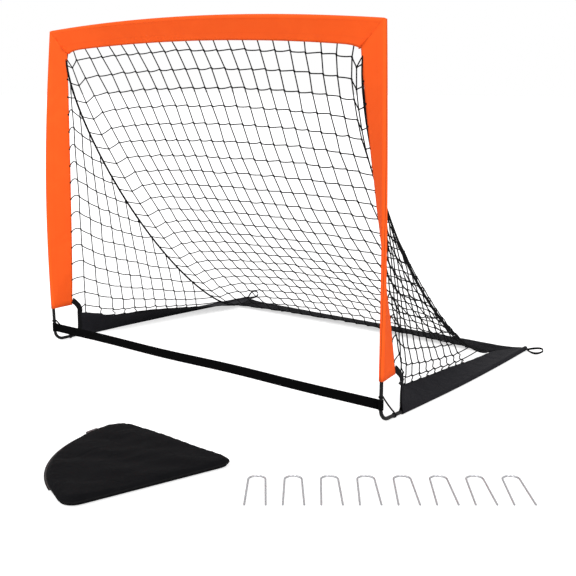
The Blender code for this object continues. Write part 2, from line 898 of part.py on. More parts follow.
def build_goal():
    clear_scene()
    group = new_collection("Pop-up soccer goal")
    origin = new_empty("goal_origin", group, (0, 0, 0))
    pivot_place = (0, fold_back, fold_height)
    pivot = new_empty("front_frame_pivot", group, pivot_place, origin)
    steel = (BLACK_STEEL, 0.35, 0.6)
    rods = ((0.55, 0.53, 0.45), 0.55, 0.0)
    orange = (ORANGE_CLOTH, 0.8, 0.0)
    cloth = (BLACK_CLOTH, 0.9, 0.0)
    cord = (BLACK_CORD, 0.85, 0.0)

    def arch(look):
        return lambda name, data: new_part(name, data, group, pivot, look, pivot_place)

    def base(look):
        return lambda name, data: new_part(name, data, group, origin, look)

    build_elbows(arch(steel))
    build_arch_rods(arch(rods))
    build_ferrule(arch(((0.60, 0.60, 0.62), 0.35, 1.0)))
    build_post_sleeves(arch(orange))
    build_crossbar_sleeve(arch(orange))
    build_corner_tubes(base(steel))
    build_base_rods(base(rods))
    build_side_skirts(base(cloth))
    build_rear_skirt(base(cloth))
    build_front_strap(base(cord), (0, 0, 0))
    build_binding_tapes(base(cloth))
    build_corner_cords(base(cord))
    build_edge_cords(base(cord))
    build_rear_net(base(cord))
    build_side_nets(base(cord))
    build_peg_loops(group, origin)
    build_pegs(group, origin)
    build_bag(group, origin)
    parts = [item for item in group.objects if item.type in {"MESH", "CURVE"}]
    centre_on_ground(origin, parts)


build_goal()
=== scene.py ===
"""Looks of the pop-up soccer goal: cloth, nets, cords, tubes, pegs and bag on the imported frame."""

import json
import random
from itertools import pairwise, product
from math import asin, atan2, cos, exp, hypot, log, pi, radians, sin, tan

import bpy
from mathutils import Matrix, Vector


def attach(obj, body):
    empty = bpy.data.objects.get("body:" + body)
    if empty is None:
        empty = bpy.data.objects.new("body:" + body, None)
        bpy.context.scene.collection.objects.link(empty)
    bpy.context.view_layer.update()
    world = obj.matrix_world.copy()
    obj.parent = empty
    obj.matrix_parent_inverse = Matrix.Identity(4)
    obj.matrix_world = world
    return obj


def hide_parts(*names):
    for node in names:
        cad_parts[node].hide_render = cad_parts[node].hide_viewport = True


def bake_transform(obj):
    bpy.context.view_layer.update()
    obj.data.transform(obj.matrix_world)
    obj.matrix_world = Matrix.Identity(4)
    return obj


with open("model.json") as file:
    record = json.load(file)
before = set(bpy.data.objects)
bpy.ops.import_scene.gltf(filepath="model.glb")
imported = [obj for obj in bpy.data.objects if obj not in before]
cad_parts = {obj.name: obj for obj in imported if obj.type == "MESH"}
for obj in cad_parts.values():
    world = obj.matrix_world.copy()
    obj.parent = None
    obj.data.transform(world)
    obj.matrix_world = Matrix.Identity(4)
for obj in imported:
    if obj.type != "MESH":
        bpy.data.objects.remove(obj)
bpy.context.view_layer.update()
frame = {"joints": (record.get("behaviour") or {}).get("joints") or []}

# The goal's middle on the ground, found from the fold joint
fold_offset = Vector((0, 0.035, 0.035))
fold = next(joint for joint in frame["joints"] if joint["name"] == "front_frame_fold")
goal = Vector(fold["pos_m"]) - fold_offset

# Goal frame, as in the part's source
half_width = 0.5895
corner_height = 0.897
base_depth = 0.805
top_inset = 0.0225
top_setback = 0.019
rear_inset = 0.0505
crossbar_bow = 0.023
post_bow = 0.012
post_front_bow = 0.010
base_bow = 0.010
bend_radius = 0.028
tube_radius = 0.0045
tube_top = 0.135
tube_back = 0.125
ground_line = 0.0065
bend_top = ground_line + bend_radius

# Sleeves: a pocket round the rod, and two layers of cloth from there to the hem
pocket_radius = 0.0062
sleeve_width = 0.065
crossbar_width = 0.055
sleeve_foot = 0.102
sleeve_turn = radians(92)
sleeve_turn_curl = 1.08
crossbar_tilt = radians(12)
cloth = 0.0007
layer_gap = 0.0009
layer_steps = 10
seam = 0.00005
ripple_depth = 0.0005
loose_from = 0.012
loose_reach = 0.03
corner_rounding = 0.0062
corner_flare = 0.008
corner_flare_length = 0.014

# Skirts
skirt_front = 0.086
skirt_width = 0.066
skirt_end_width = 0.016
skirt_lean = radians(90)
skirt_rise = radians(56)
skirt_rise_length = 0.055
skirt_roll = radians(55)
skirt_slack = (5.0, 60)
skirt_clear = 0.0012
upright_share = {"left": 0.66, "right": 1.0}
mitre_length = 0.100
mitre_gap = 0.0012
rear_skirt_bow = 0.012
rear_skirt_rise = 0.008
rear_skirt_level = 0.0011
rear_skirt_clear = 0.0009
rear_skirt_cloth_depth = 0.0016
rear_wrinkle = 1.3
end_hold = 12

# Strap and binding tapes
strap_height = 0.045
strap_width = 0.024
strap_depth = 0.0011
strap_split = 0.00085
strap_wave = 0.0015
strap_held = 0.02
tape_width = 0.016
tape_depth = 0.0016
tape_lap = 0.014
tape_seat = 0.0006
tape_foot = 0.014
tape_lift = 0.0024
tape_bend = (0.0, 0.020, -0.004)
tape_run = 0.92
tape_run_ease = 0.3
tape_run_shift = (-0.0026, 0.42 * tape_width, 0)

# Cords
corner_cord_radius = 0.0020
corner_cord_up = 0.064
corner_cord_back = 0.056
corner_cord_sag = 0.002
tie_radius = 0.0011
tie_seat = 0.0009
tie_spacing = 0.0012
edge_cord_radius = 0.0028
edge_cord_clear = 0.0006
edge_cord_hang = (0.136, 0.68, 0.05)
edge_cord_inward = 0.019
edge_cord_foot = (0.0, -0.004, 0.007)
edge_cord_seat = (0.0095, 0.0100, -0.0010)

# Pairs of points where fabric starts and ends its turn as the front frame folds; settle takes them but only
# bakes the pieces in place
corner_fold = (goal + Vector((0, 0.080, 0)), goal + Vector((0, 0.0, 0.10)))
tape_fold = (goal + Vector((0, 0.1233, 0.0766)), goal + Vector((0, 0.065, 0.112)))
net_fold = (goal + Vector((0, 0.54, 0)), goal + Vector((0, 0.075, 0)))
net_ring_start = 0.08
net_ring_growth = 1.2

# Nets
twine_radius = 0.0016
knot_radius = 0.0026
knot_reach = 0.0026
knot_exit = 0.8
knot_slant = 0.5
tie_drop = 0.001
tie_lay = -0.85
column_pitch = 0.0484
column_draw = 0.105
draw_depth = 0.12
rear_columns = 10
rear_rows = 22
rear_top_lap = 0.002
rear_foot_share = 0.05
rear_foot_lift = 0.0008
rear_jitter = 0.0014
rear_sway = 0.0035
first_row = 0.030
row_stretch = 0.09
row_drop = 0.0008
row_play = 0.0015
rear_sag = (0.083, 0.009)
rear_fullness = (1.80, -1.05)
rear_skew = (-0.35, 0.55)
outer_drop = (0.022, 0.012)
outer_share = 0.45
outer_end = 0.020
outer_tie_lift = 0.007
side_columns = 12
side_pitch = 0.041
side_first = 0.070
side_lean = (0.08, 0.040)
side_row = 0.0495
side_squeeze = (0.6, 0.22)
side_squeeze_start = 0.6
side_hook_foot = 0.054
side_hook_top = 0.800
side_hook_lap = 0.001
side_hook_arch = 0.007
side_jitter = 0.0015
side_low_sway = 0.004
side_sway = 0.001
side_row_drop = 0.0012
side_row_play = 0.001
side_tie_drop = 0.002
side_cord_gap = 0.005

# Peg loops and pegs
loop_length = 0.064
loop_width = 0.024
loop_height = 0.010
loop_lift = 0.0003
loop_depth = 0.0014
loop_gap = 0.10
loop_fullness = 0.62
loop_twist = 0.5
loop_heading = {"left": radians(100), "right": radians(-22)}
loop_seat = {"left": (0, 0.0006, 0), "right": (0.0084, -0.006, 0)}
loop_form = {"left": (0.0050, 0.012, 0.65), "right": (0.0060, 0.009, 0.55)}
peg_count = 8
peg_length = 0.145
peg_width = 0.034
peg_splay = 0.003
peg_wire = 0.002
peg_pitch = 0.0717
peg_row_start = (0.636, -0.484)
row_heading = radians(39.7)

# Carry bag
bag_place = (0.359, -0.526)
bag_corners = ((-0.077, 0.243, 0.045), (0.195, -0.005, 0.026), (-0.111, -0.231, 0.028),
               (-0.234, 0.023, 0.330))
bag_height = 0.020
bag_clear = 0.0002
bag_shoulder = 0.74
bag_puckers = 44
bag_pucker_depth = 0.0007
bag_steps = 150
bag_seam_height = 0.009
piping_radius = 0.0021
tab_size = (0.008, 0.015)
tab_depth = 0.0009
tab_lap = 0.002
tab_slant = 0.10
tab_fold = 0.0022
zip_width = 0.006
zip_clear = 0.0003
zip_tapes = ((-0.5, -0.1), (0.1, 0.5))
zip_tape_depth = 0.0008
tooth_pitch = 0.0026
tooth_shift = 0.0005
tooth_half = (0.0008, 0.0013, 0.0009)

SIDES = (("left", -1), ("right", 1))
RIGHT, BACK, UP = Vector((1, 0, 0)), Vector((0, 1, 0)), Vector((0, 0, 1))

# Camera, which looks along the row of pegs' own heading, and light
camera_place = (1.894, -1.903, 0.787)
camera_pitch = radians(11.55)
camera_lens = 65.75
world_level = 0.5
floor_lift = 0.62


def spread(start, end, count):
    return [start + (end - start) * i / count for i in range(count + 1)]


def stepped(start, *legs):
    """Values from start through each leg's end, with the leg's own number of steps."""
    values = [start]
    for end, count in legs:
        values += spread(start, end, count)[1:]
        start = end
    return values


def clamp(share):
    return min(max(share, 0.0), 1.0)


def ease(start, end, share):
    return start + (end - start) * clamp(share)


def tangent(path, t, step=0.002):
    return (path(t + step) - path(t - step)).normalized()


def across(direction, along):
    return (direction - along * direction.dot(along)).normalized()


def mirrored(point, sign):
    return Vector((point.x * sign, point.y, point.z))


def running(line):
    """The distance along a line at each of its points."""
    reach = [0.0]
    for low, high in pairwise(line):
        reach.append(reach[-1] + (high - low).length)
    return reach


# Centre lines of the right half, as in the part's source


def post_point(t):
    bow = sin(pi * t)
    x = half_width - top_inset * t + post_bow * bow
    y = top_setback * t - post_front_bow * bow
    return Vector((x, y, bend_top + (corner_height - bend_top) * t))


def post_at(height):
    return (height - bend_top) / (corner_height - bend_top)


def crossbar_point(t):
    x = (half_width - top_inset) * t
    return Vector((x, top_setback, corner_height + crossbar_bow * (1 - t * t)))


def base_point(t):
    x = half_width - rear_inset * t + base_bow * sin(pi * t)
    return Vector((x, bend_radius + (base_depth - bend_radius) * t, ground_line))


def base_at(back):
    return (back - bend_radius) / (base_depth - bend_radius)


def post_band(t):
    turn = sleeve_turn * max(1 - t, 0.0) ** sleeve_turn_curl
    return across(Vector((-cos(turn), sin(turn), 0)), tangent(post_point, t))


def crossbar_band(t):
    lean = crossbar_tilt * (1 - t ** 4)
    return across(Vector((0, sin(lean), -cos(lean))), tangent(crossbar_point, t))


def skirt_band(t, side="right"):
    """The way up a side skirt, which leans in more and more towards the rear."""
    back = max(base_point(t).y - skirt_front, 0.0)
    lean = skirt_rise * (1 - exp(-(back / skirt_rise_length) ** 2)) + skirt_roll * back
    rest = min(back / (base_depth - mitre_length - skirt_front), 1.0) ** 1.5
    lean = min(lean, skirt_lean) * (upright_share[side] + (1 - upright_share[side]) * rest)
    return across(Vector((-sin(lean), 0, cos(lean))), tangent(base_point, t))


def skirt_reach(t):
    share = (base_point(t).y - (base_depth - mitre_length)) / mitre_length
    return ease(skirt_width, skirt_end_width, share)


def skirt_tip(t, side="right"):
    return base_point(t) + skirt_band(t, side) * skirt_reach(t)


def mitre_corner():
    return skirt_tip(base_at(base_depth - mitre_length))


def rear_edges(u):
    """The rear skirt's low and high edge, at a share of its half width."""
    inner = mitre_corner()
    corner = skirt_tip(1)
    middle = 1 - u * u
    lift = rear_skirt_level + (corner.z - rear_skirt_level) * u ** 16
    low = Vector(((corner.x - mitre_gap) * u, corner.y, lift))
    high = Vector(((inner.x - mitre_gap) * u, inner.y + rear_skirt_bow * middle,
                   inner.z + rear_skirt_rise * middle))
    return low, high


def corner_frame():
    """The right top corner: its place, the two sleeves' outward directions and the seam's normal."""
    rising = tangent(post_point, 1)
    outward_bar = tangent(crossbar_point, 1)
    normal = (rising * sleeve_width - outward_bar * crossbar_width).normalized()
    return post_point(1), rising, outward_bar, normal


def past_plane(point, centre, along, normal):
    """How far a point lies past a plane, measured along a direction."""
    return (point - centre).dot(normal) / along.dot(normal)


def sleeve_edge(height, gap):
    t = post_at(height)
    return post_point(t) + post_band(t) * (sleeve_width + gap)


def tape_foot_edge(side):
    """Ends of the stretch of the skirt's top edge that the tape is sewn to."""
    return skirt_tip(base_at(skirt_front), side), skirt_tip(base_at(skirt_front + tape_foot), side)


def tape_path(s, side="right"):
    start = sleeve_edge(sleeve_foot + tape_lap, tape_seat)
    near, far = tape_foot_edge(side)
    end = near.lerp(far, 0.5) + UP * tape_lift
    corner = start.lerp(end, 0.5) + Vector(tape_bend)
    return start.lerp(corner, s).lerp(corner.lerp(end, s), s)


def tape_band(s, side="right"):
    near, far = tape_foot_edge(side)
    upper = Vector((0, 1, 1)).normalized()
    along = tangent(lambda at: tape_path(at, side), s)
    return across(upper.lerp((far - near).normalized(), s), along)


def hang(t, sag, fullness, skew):
    """How far a slack line hangs off its chord: by sag at the middle, and skewed to one end."""
    return sag * max(4 * t * (1 - t), 0.0) ** fullness * (1 + skew * (t - 0.5))


def edge_cord(t):
    """From inside the top corner down to the rear skirt's end, with its sag."""
    place, rising, _, normal = corner_frame()
    tip = place + post_band(1) * sleeve_width
    inner = tip - rising * past_plane(tip, place, rising, normal)
    clear = edge_cord_radius + edge_cord_clear
    start = inner + Vector((-clear, 0, -clear)) + Vector(edge_cord_seat)
    end = mitre_corner() + Vector(edge_cord_foot)
    down = (end - start).normalized().cross(RIGHT).normalized()
    if down.z > 0:
        down = -down
    inward = RIGHT * hang(t, edge_cord_inward, 1, 0)
    return start.lerp(end, t) + down * hang(t, *edge_cord_hang) - inward


# Shader nodes


def feed(socket, value):
    """Links a socket to another one, or sets its value."""
    if isinstance(value, bpy.types.NodeSocket):
        socket.id_data.links.new(value, socket)
    else:
        socket.default_value = value


def add_node(tree, kind, output, **inputs):
    """A shader node with its named inputs; gives one of its outputs."""
    node = tree.nodes.new("ShaderNode" + kind)
    for label, value in inputs.items():
        feed(node.inputs[label.replace("_", " ")], value)
    return node.outputs[output]


def calc(operation, *values, kind="Math"):
    """A math node in the tree of the first socket among its values."""
    tree = next(value for value in values if isinstance(value, bpy.types.NodeSocket)).id_data
    node = tree.nodes.new("ShaderNode" + kind)
    node.operation = operation
    for socket, value in zip(node.inputs, values):
        feed(socket, value)
    return node.outputs[0]


def parts(vector):
    """X and Y of a vector."""
    node = vector.id_data.nodes.new("ShaderNodeSeparateXYZ")
    feed(node.inputs[0], vector)
    return node.outputs["X"], node.outputs["Y"]


def bumps(value):
    """Round bumps, one for each whole number."""
    return calc("ABSOLUTE", calc("SINE", calc("MULTIPLY", value, pi)))


def off_line(uv, line):
    """Distance across the cloth from a line of constant V."""
    return calc("ABSOLUTE", calc("SUBTRACT", parts(uv)[1], line))


def shader_group(*labels):
    """Makes a function into a shader group: inputs with these labels, and the outputs it returns."""
    def build(make):
        group = bpy.data.node_groups.new(make.__name__, "ShaderNodeTree")
        for label in labels:
            kind = "NodeSocketVector" if label in ("UV", "Place", "Stretch") else "NodeSocketFloat"
            group.interface.new_socket(label, in_out="INPUT", socket_type=kind)
        results = make(*group.nodes.new("NodeGroupInput").outputs[:len(labels)])
        for label in results:
            group.interface.new_socket(label, in_out="OUTPUT", socket_type="NodeSocketFloat")
        end = group.nodes.new("NodeGroupOutput")
        for label, value in results.items():
            feed(end.inputs[label], value)
        return group
    return build


def place_group(group, source, **values):
    """Puts a group in the tree of the socket that feeds it, and gives its outputs."""
    node = source.id_data.nodes.new("ShaderNodeGroup")
    node.node_tree = group
    feed(node.inputs[0], source)
    for label, value in values.items():
        node.inputs[label].default_value = value
    return node.outputs


@shader_group("UV", "Threads")
def weave(uv, threads):
    """Plain weave on metres of UV."""
    warp, weft = [calc("MULTIPLY", way, threads) for way in parts(uv)]
    over = calc("FLOORED_MODULO", calc("ADD", calc("FLOOR", warp), calc("FLOOR", weft)), 2.0)
    under = calc("SUBTRACT", 1.0, over)
    return {"Height": calc("MULTIPLY_ADD", bumps(weft), under, calc("MULTIPLY", bumps(warp), over))}


@shader_group("Place", "Scale", "Stretch")
def creases(place, scale, stretch):
    """Soft creases over cloth, with painted shade along their sharp lines."""
    stretched = calc("MULTIPLY", place, stretch, kind="VectorMath")
    folds = add_node(place.id_data, "TexNoise", "Fac", Vector=stretched, Scale=scale, Detail=3.0,
                     Distortion=1.2)
    ridge = calc("ABSOLUTE", calc("SUBTRACT", folds, 0.5))
    sharp = calc("MAXIMUM", calc("SUBTRACT", 1.0, calc("MULTIPLY", ridge, 6.0)), 0.0)
    return {"Height": calc("MULTIPLY_ADD", sharp, 0.4, folds), "Shade": sharp}


@shader_group("UV", "Line", "Pitch")
def stitches(uv, line, pitch):
    """A row of stitches along a line of constant V: 1 on the thread."""
    on_line = calc("LESS_THAN", off_line(uv, line), 0.0006)
    on_stitch = calc("LESS_THAN", calc("FRACT", calc("DIVIDE", parts(uv)[0], pitch)), 0.68)
    return {"Mask": calc("MULTIPLY", on_line, on_stitch)}


@shader_group("UV", "Line")
def fold_painted_shade(uv, line):
    """Painted shade along the cloth's fold, where the pocket turns away behind the rod, along a line of
    constant V.
    """
    near = calc("SUBTRACT", 1.0, calc("DIVIDE", off_line(uv, line), 0.0011))
    return {"Mask": calc("MAXIMUM", near, 0.0)}


@shader_group("UV", "Pitch", "Strands")
def twist(uv, pitch, strands):
    """Strands laid round a cord, with painted shade in the grooves between them: UV runs in metres along it
    and in turns round it.
    """
    along, turns = parts(uv)
    height = bumps(calc("ADD", calc("DIVIDE", along, pitch), calc("MULTIPLY", turns, strands)))
    # the second output masks the grooves between strands for painted shade
    return {"Height": height, "GrooveShade": calc("LESS_THAN", height, 0.3)}


@shader_group("Place", "Scale")
def wear(place, scale):
    """Scuffs and dull patches on metal and plastic."""
    tree = place.id_data
    speckle = add_node(tree, "TexNoise", "Fac", Vector=place, Scale=scale, Detail=6.0)
    haze = add_node(tree, "TexNoise", "Fac", Vector=place, Scale=12.0)
    scuff = add_node(tree, "MapRange", "Result", Value=speckle, From_Min=0.62, From_Max=0.75)
    return {"Scuff": scuff, "Haze": haze}


# Materials


def blend_colours(share, first, second):
    mix = share.id_data.nodes.new("ShaderNodeMix")
    mix.data_type = "RGBA"
    feed(mix.inputs["Factor"], share)
    for label, colour in (("A", first), ("B", second)):
        feed(mix.inputs[label], (*colour, 1.0) if isinstance(colour, tuple) else colour)
    return mix.outputs["Result"]


def new_material(name, roughness, gloss=0.5, metallic=0.0):
    material = bpy.data.materials.new(name)
    material.use_nodes = True
    shader = material.node_tree.nodes["Principled BSDF"]
    for label, value in (("Roughness", roughness), ("Specular IOR Level", gloss), ("Metallic", metallic)):
        shader.inputs[label].default_value = value
    return material, material.node_tree, shader


def paint(shader, colour, height, depth, strength=1.0):
    """A shader's colour, and its relief from a height."""
    normal = add_node(shader.id_data, "Bump", "Normal", Height=height, Distance=depth, Strength=strength)
    feed(shader.inputs["Base Color"], colour)
    feed(shader.inputs["Normal"], normal)


def cloth_material(name, colour, dark, roughness, threads, crease_scale, crease_depth, rows=(), pitch=0.0035,
                   stretch=(1.0, 1.0, 1.0), gloss=0.12, fold_line=None):
    """Woven cloth with creases and rows of stitches. UV is in metres: along, then across."""
    material, tree, shader = new_material(name, roughness, gloss)
    uv = add_node(tree, "UVMap", "UV")
    woven = place_group(weave, uv, Threads=threads)["Height"]
    crease = place_group(creases, add_node(tree, "TexCoord", "Object"), Scale=crease_scale, Stretch=stretch)
    # the crease share is painted shade, darkening the cloth along its crease lines; the weave share is the
    # threads' own tone
    shade = calc("MULTIPLY_ADD", crease["Shade"], 0.35, calc("MULTIPLY", woven, 0.25))
    height = calc("MULTIPLY_ADD", crease["Height"], crease_depth, calc("MULTIPLY", woven, 0.12))
    result = blend_colours(shade, colour, dark)
    for line in rows:
        stitch = place_group(stitches, uv, Line=line, Pitch=pitch)["Mask"]
        result = blend_colours(calc("MULTIPLY", stitch, 0.6), result, dark)
        height = calc("MULTIPLY_ADD", stitch, 0.3, height)
    if fold_line:
        # painted shade: a thin darker brownish line along the sleeve's fold line
        fold_shade_mask = place_group(fold_painted_shade, uv, Line=fold_line)["Mask"]
        result = blend_colours(fold_shade_mask, result, (0.22, 0.035, 0.008))
    paint(shader, result, height, 0.0010, 0.7)
    return material


def cord_material(name, colour, groove_shade_colour, pitch, strands):
    material, tree, shader = new_material(name, 0.9, 0.12)
    lay = place_group(twist, add_node(tree, "UVMap", "UV"), Pitch=pitch, Strands=strands)
    # painted shade: the cord's grooves between strands take the darker colour
    paint(shader, blend_colours(lay["GrooveShade"], colour, groove_shade_colour), lay["Height"], 0.0004)
    return material


def webbing_material(name, colour, dark, rib, cross):
    """Webbing with ribs along its length and a close cross weave, with painted shade in the ribs' valleys and
    lighter crests.
    """
    material, tree, shader = new_material(name, 0.85, 0.03)
    along, width = parts(add_node(tree, "UVMap", "UV"))
    ribs = calc("SINE", calc("MULTIPLY", width, 2 * pi / rib))
    height = calc("MULTIPLY_ADD", calc("SINE", calc("MULTIPLY", along, 2 * pi / cross)), 0.3, ribs)
    # painted shade: darker in the valleys between ribs, lighter on their crests
    shade = calc("MULTIPLY_ADD", height, 0.35, 0.45)
    paint(shader, blend_colours(shade, dark, colour), height, 0.0003)
    return material


def hard_material(name, colour, dull, roughness, metallic=0.0, scale=60.0, gloss=0.5):
    """Metal or plastic with scuffs and dull patches."""
    material, tree, shader = new_material(name, roughness, gloss, metallic)
    marks = place_group(wear, add_node(tree, "TexCoord", "Object"), Scale=scale)
    feed(shader.inputs["Roughness"],
         add_node(tree, "MapRange", "Result", Value=marks["Haze"], From_Min=0.3, From_Max=0.7,
                  To_Min=roughness * 0.8, To_Max=roughness * 1.3))
    colours = blend_colours(calc("MULTIPLY", marks["Scuff"], 0.5), colour, dull)
    paint(shader, colours, marks["Scuff"], 0.0001)
    return material


def orange_material(name, rows, fold_line):
    return cloth_material(name, (1.0, 0.12, 0.015), (0.93, 0.098, 0.011), 0.8, 900.0, 7.0, 1.0, rows,
                          fold_line=fold_line)


sleeve_cloth = orange_material("orange_sleeve_cloth", (0.0475, 0.0875, 0.0035, 0.1315), 0.0749)
crossbar_cloth = orange_material("orange_crossbar_cloth", (0.0375, 0.0775, 0.0035, 0.1115), 0.0650)
skirt_cloth = cloth_material("black_skirt_cloth", (0.011, 0.0108, 0.0138), (0.0055, 0.0054, 0.0072),
                             0.8, 900.0, 14.0, 2.5, (0.004,), stretch=(1.0, 1.0, 3.0))
rear_skirt_cloth = cloth_material("black_rear_skirt_cloth", (0.006, 0.006, 0.0076), (0.0028, 0.0028, 0.0036),
                                  0.85, 900.0, 14.0, 2.5, (0.004,), stretch=(1.0, 1.0, 3.0), gloss=0.04)
bag_cloth = cloth_material("black_bag_cloth", (0.0055, 0.0055, 0.0064), (0.0026, 0.0026, 0.0032),
                           0.85, 700.0, 11.0, 3.0, gloss=0.05)
tape_cloth = cloth_material("black_binding_tape", (0.006, 0.006, 0.007), (0.003, 0.003, 0.0035),
                            0.85, 1100.0, 20.0, 0.8, (0.0018, 0.0142), 0.003)
cord_twist = cord_material("black_edge_cord", (0.006, 0.006, 0.0068), (0.0025, 0.0025, 0.0028), 0.009, 3.0)
twine_twist = cord_material("black_net_twine", (0.006, 0.006, 0.0068), (0.003, 0.003, 0.0034), 0.004, 2.0)
piping_cloth = cord_material("black_bag_piping", (0.0045, 0.0045, 0.005), (0.002, 0.002, 0.0022), 0.02, 2.0)
webbing = webbing_material("black_webbing", (0.0028, 0.0028, 0.0031), (0.0012, 0.0012, 0.0013),
                           0.0024, 0.0012)
tooth_plastic = hard_material("black_zip_teeth", (0.01, 0.01, 0.011), (0.03, 0.03, 0.03), 0.45, scale=200.0)
tube_steel = hard_material("black_tube_steel", (0.005, 0.005, 0.0056), (0.018, 0.018, 0.018), 0.4, gloss=0.2)
rod_fibre = hard_material("fibreglass_rod", (0.6, 0.57, 0.47), (0.45, 0.42, 0.34), 0.5, scale=90.0)
tip_plastic = hard_material("black_tip_plastic", (0.02, 0.02, 0.02), (0.05, 0.05, 0.05), 0.45)
peg_steel = hard_material("bright_peg_steel", (0.5, 0.5, 0.52), (0.3, 0.3, 0.31), 0.28, 1.0, 150.0)
ferrule_steel = hard_material("bright_ferrule_steel", (0.6, 0.6, 0.62), (0.42, 0.42, 0.43), 0.3, 1.0)
slider_metal = hard_material("dark_slider_metal", (0.1, 0.1, 0.11), (0.3, 0.3, 0.3), 0.35, 1.0)


# Mesh helpers


def new_object(name, data):
    piece = bpy.data.objects.new(name, data)
    bpy.context.scene.collection.objects.link(piece)
    return piece


def add_mesh(name, verts, faces, uvs, material, smooth=True):
    """A mesh piece from points in the goal's frame, with a UV at each face corner."""
    data = bpy.data.meshes.new(name)
    data.from_pydata([tuple(Vector(v) + goal) for v in verts], [], faces)
    layer = data.uv_layers.new(name="UVMap")
    layer.data.foreach_set("uv", [value for face in uvs for corner in face for value in corner])
    if smooth:
        data.shade_smooth()
    data.materials.append(material)
    return new_object(name, data)


def settle(piece, where, node):
    """Says what moves a piece: one body by name; given a pair of points instead, the piece is only baked in
    place.
    """
    if isinstance(where, str):
        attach(piece, where)
    else:
        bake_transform(piece)
    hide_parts(node)


def grid_piece(name, rows, lengths, widths, material, flip=False):
    """A cloth grid. Rows run across the cloth; lengths and widths are its UV in metres."""
    count = len(rows[0])
    faces = []
    uvs = []
    for i, j in product(range(len(rows) - 1), range(count - 1)):
        corners = [(i, j), (i + 1, j), (i + 1, j + 1), (i, j + 1)]
        if flip:
            corners.reverse()
        faces.append([a * count + b for a, b in corners])
        uvs.append([(lengths[a], widths[b]) for a, b in corners])
    return add_mesh(name, [point for row in rows for point in row], faces, uvs, material)


def select_only(piece):
    bpy.ops.object.select_all(action="DESELECT")
    bpy.context.view_layer.objects.active = piece
    piece.select_set(True)


def thicken(piece, thickness):
    """Gives a sheet its thickness, half to each side."""
    wall = piece.modifiers.new("Cloth", "SOLIDIFY")
    wall.thickness = thickness
    wall.offset = 0.0
    select_only(piece)
    bpy.ops.object.modifier_apply(modifier=wall.name)
    piece.select_set(False)


def ribbon_piece(name, points, bands, width, thickness, material):
    """A flat strip along points, as wide as its bands say."""
    shares = (-0.5, -0.3, 0.0, 0.3, 0.5)
    rows = [[point + band * (width * share) for share in shares] for point, band in zip(points, bands)]
    piece = grid_piece(name, rows, running(points), [width * (share + 0.5) for share in shares], material)
    thicken(piece, thickness)
    return piece


def frames_along(points):
    """A side and a top direction at each point, carried along without twisting."""
    result = []
    side = None
    for i, _ in enumerate(points):
        along = (points[min(i + 1, len(points) - 1)] - points[max(i - 1, 0)]).normalized()
        if side is None:
            side = along.cross(UP if abs(along.z) < 0.9 else RIGHT).normalized()
        else:
            side = across(side, along)
        result.append((side, along.cross(side)))
    return result


def even(points, radius):
    """A run of strand with the same radius all along."""
    return points, [radius] * len(points)


def ring_faces(first, rings, sides):
    """Quads between rings of points that follow each other."""
    return [[low + k, low + after, low + sides + after, low + sides + k]
            for low in range(first, first + (rings - 1) * sides, sides)
            for k, after in zip(range(sides), [*range(1, sides), 0])]


def tubes_piece(name, runs, material, sides):
    """Round strands. Each run is a list of points and a radius at each."""
    verts = []
    faces = []
    uvs = []
    turns = [2 * pi * k / sides for k in range(sides)]
    for points, radii in runs:
        base = len(verts)
        reach = running(points)
        for point, radius, (side, top) in zip(points, radii, frames_along(points)):
            verts += [point + (side * cos(turn) + top * sin(turn)) * radius for turn in turns]
        faces += ring_faces(base, len(points), sides)
        uvs += [[(low, k / sides), (low, (k + 1) / sides), (high, (k + 1) / sides), (high, k / sides)]
                for (low, high), k in product(pairwise(reach), range(sides))]
        last = base + (len(points) - 1) * sides
        faces += [[base + k for k in reversed(range(sides))], [last + k for k in range(sides)]]
        uvs += [[(0.0, 0.0)] * sides, [(reach[-1], 0.0)] * sides]
    return add_mesh(name, verts, faces, uvs, material)


def start_wire(radius, sides, place, heading=0.0):
    """A disc that faces along a heading, in edit mode, to be drawn along a path."""
    bpy.ops.object.select_all(action="DESELECT")
    bpy.ops.mesh.primitive_circle_add(vertices=sides, radius=radius, fill_type="NGON", location=place,
                                      rotation=(pi / 2, 0, heading))
    bpy.ops.object.transform_apply(location=True, rotation=True, scale=True)
    bpy.ops.object.mode_set(mode="EDIT")
    bpy.ops.mesh.select_all(action="SELECT")


def draw_wire(step):
    bpy.ops.mesh.extrude_region_move(TRANSFORM_OT_translate={"value": step})


def leave_closed():
    """Leaves edit mode with all faces turned outward."""
    bpy.ops.mesh.select_all(action="SELECT")
    bpy.ops.mesh.remove_doubles(threshold=0.00001)
    bpy.ops.mesh.normals_make_consistent(inside=False)
    bpy.ops.object.mode_set(mode="OBJECT")


def end_wire(material):
    leave_closed()
    bpy.ops.object.shade_smooth_by_angle(angle=radians(50))
    wire = bpy.context.object
    wire.data.materials.append(material)
    wire.select_set(False)
    return wire


def outward(piece):
    select_only(piece)
    bpy.ops.object.mode_set(mode="EDIT")
    leave_closed()
    piece.select_set(False)


def dress(material, *names):
    """Gives a finer material to CAD nodes that keep their shape."""
    for name in names:
        for holder in bpy.data.objects[name].material_slots:
            holder.material = material


# Orange sleeves


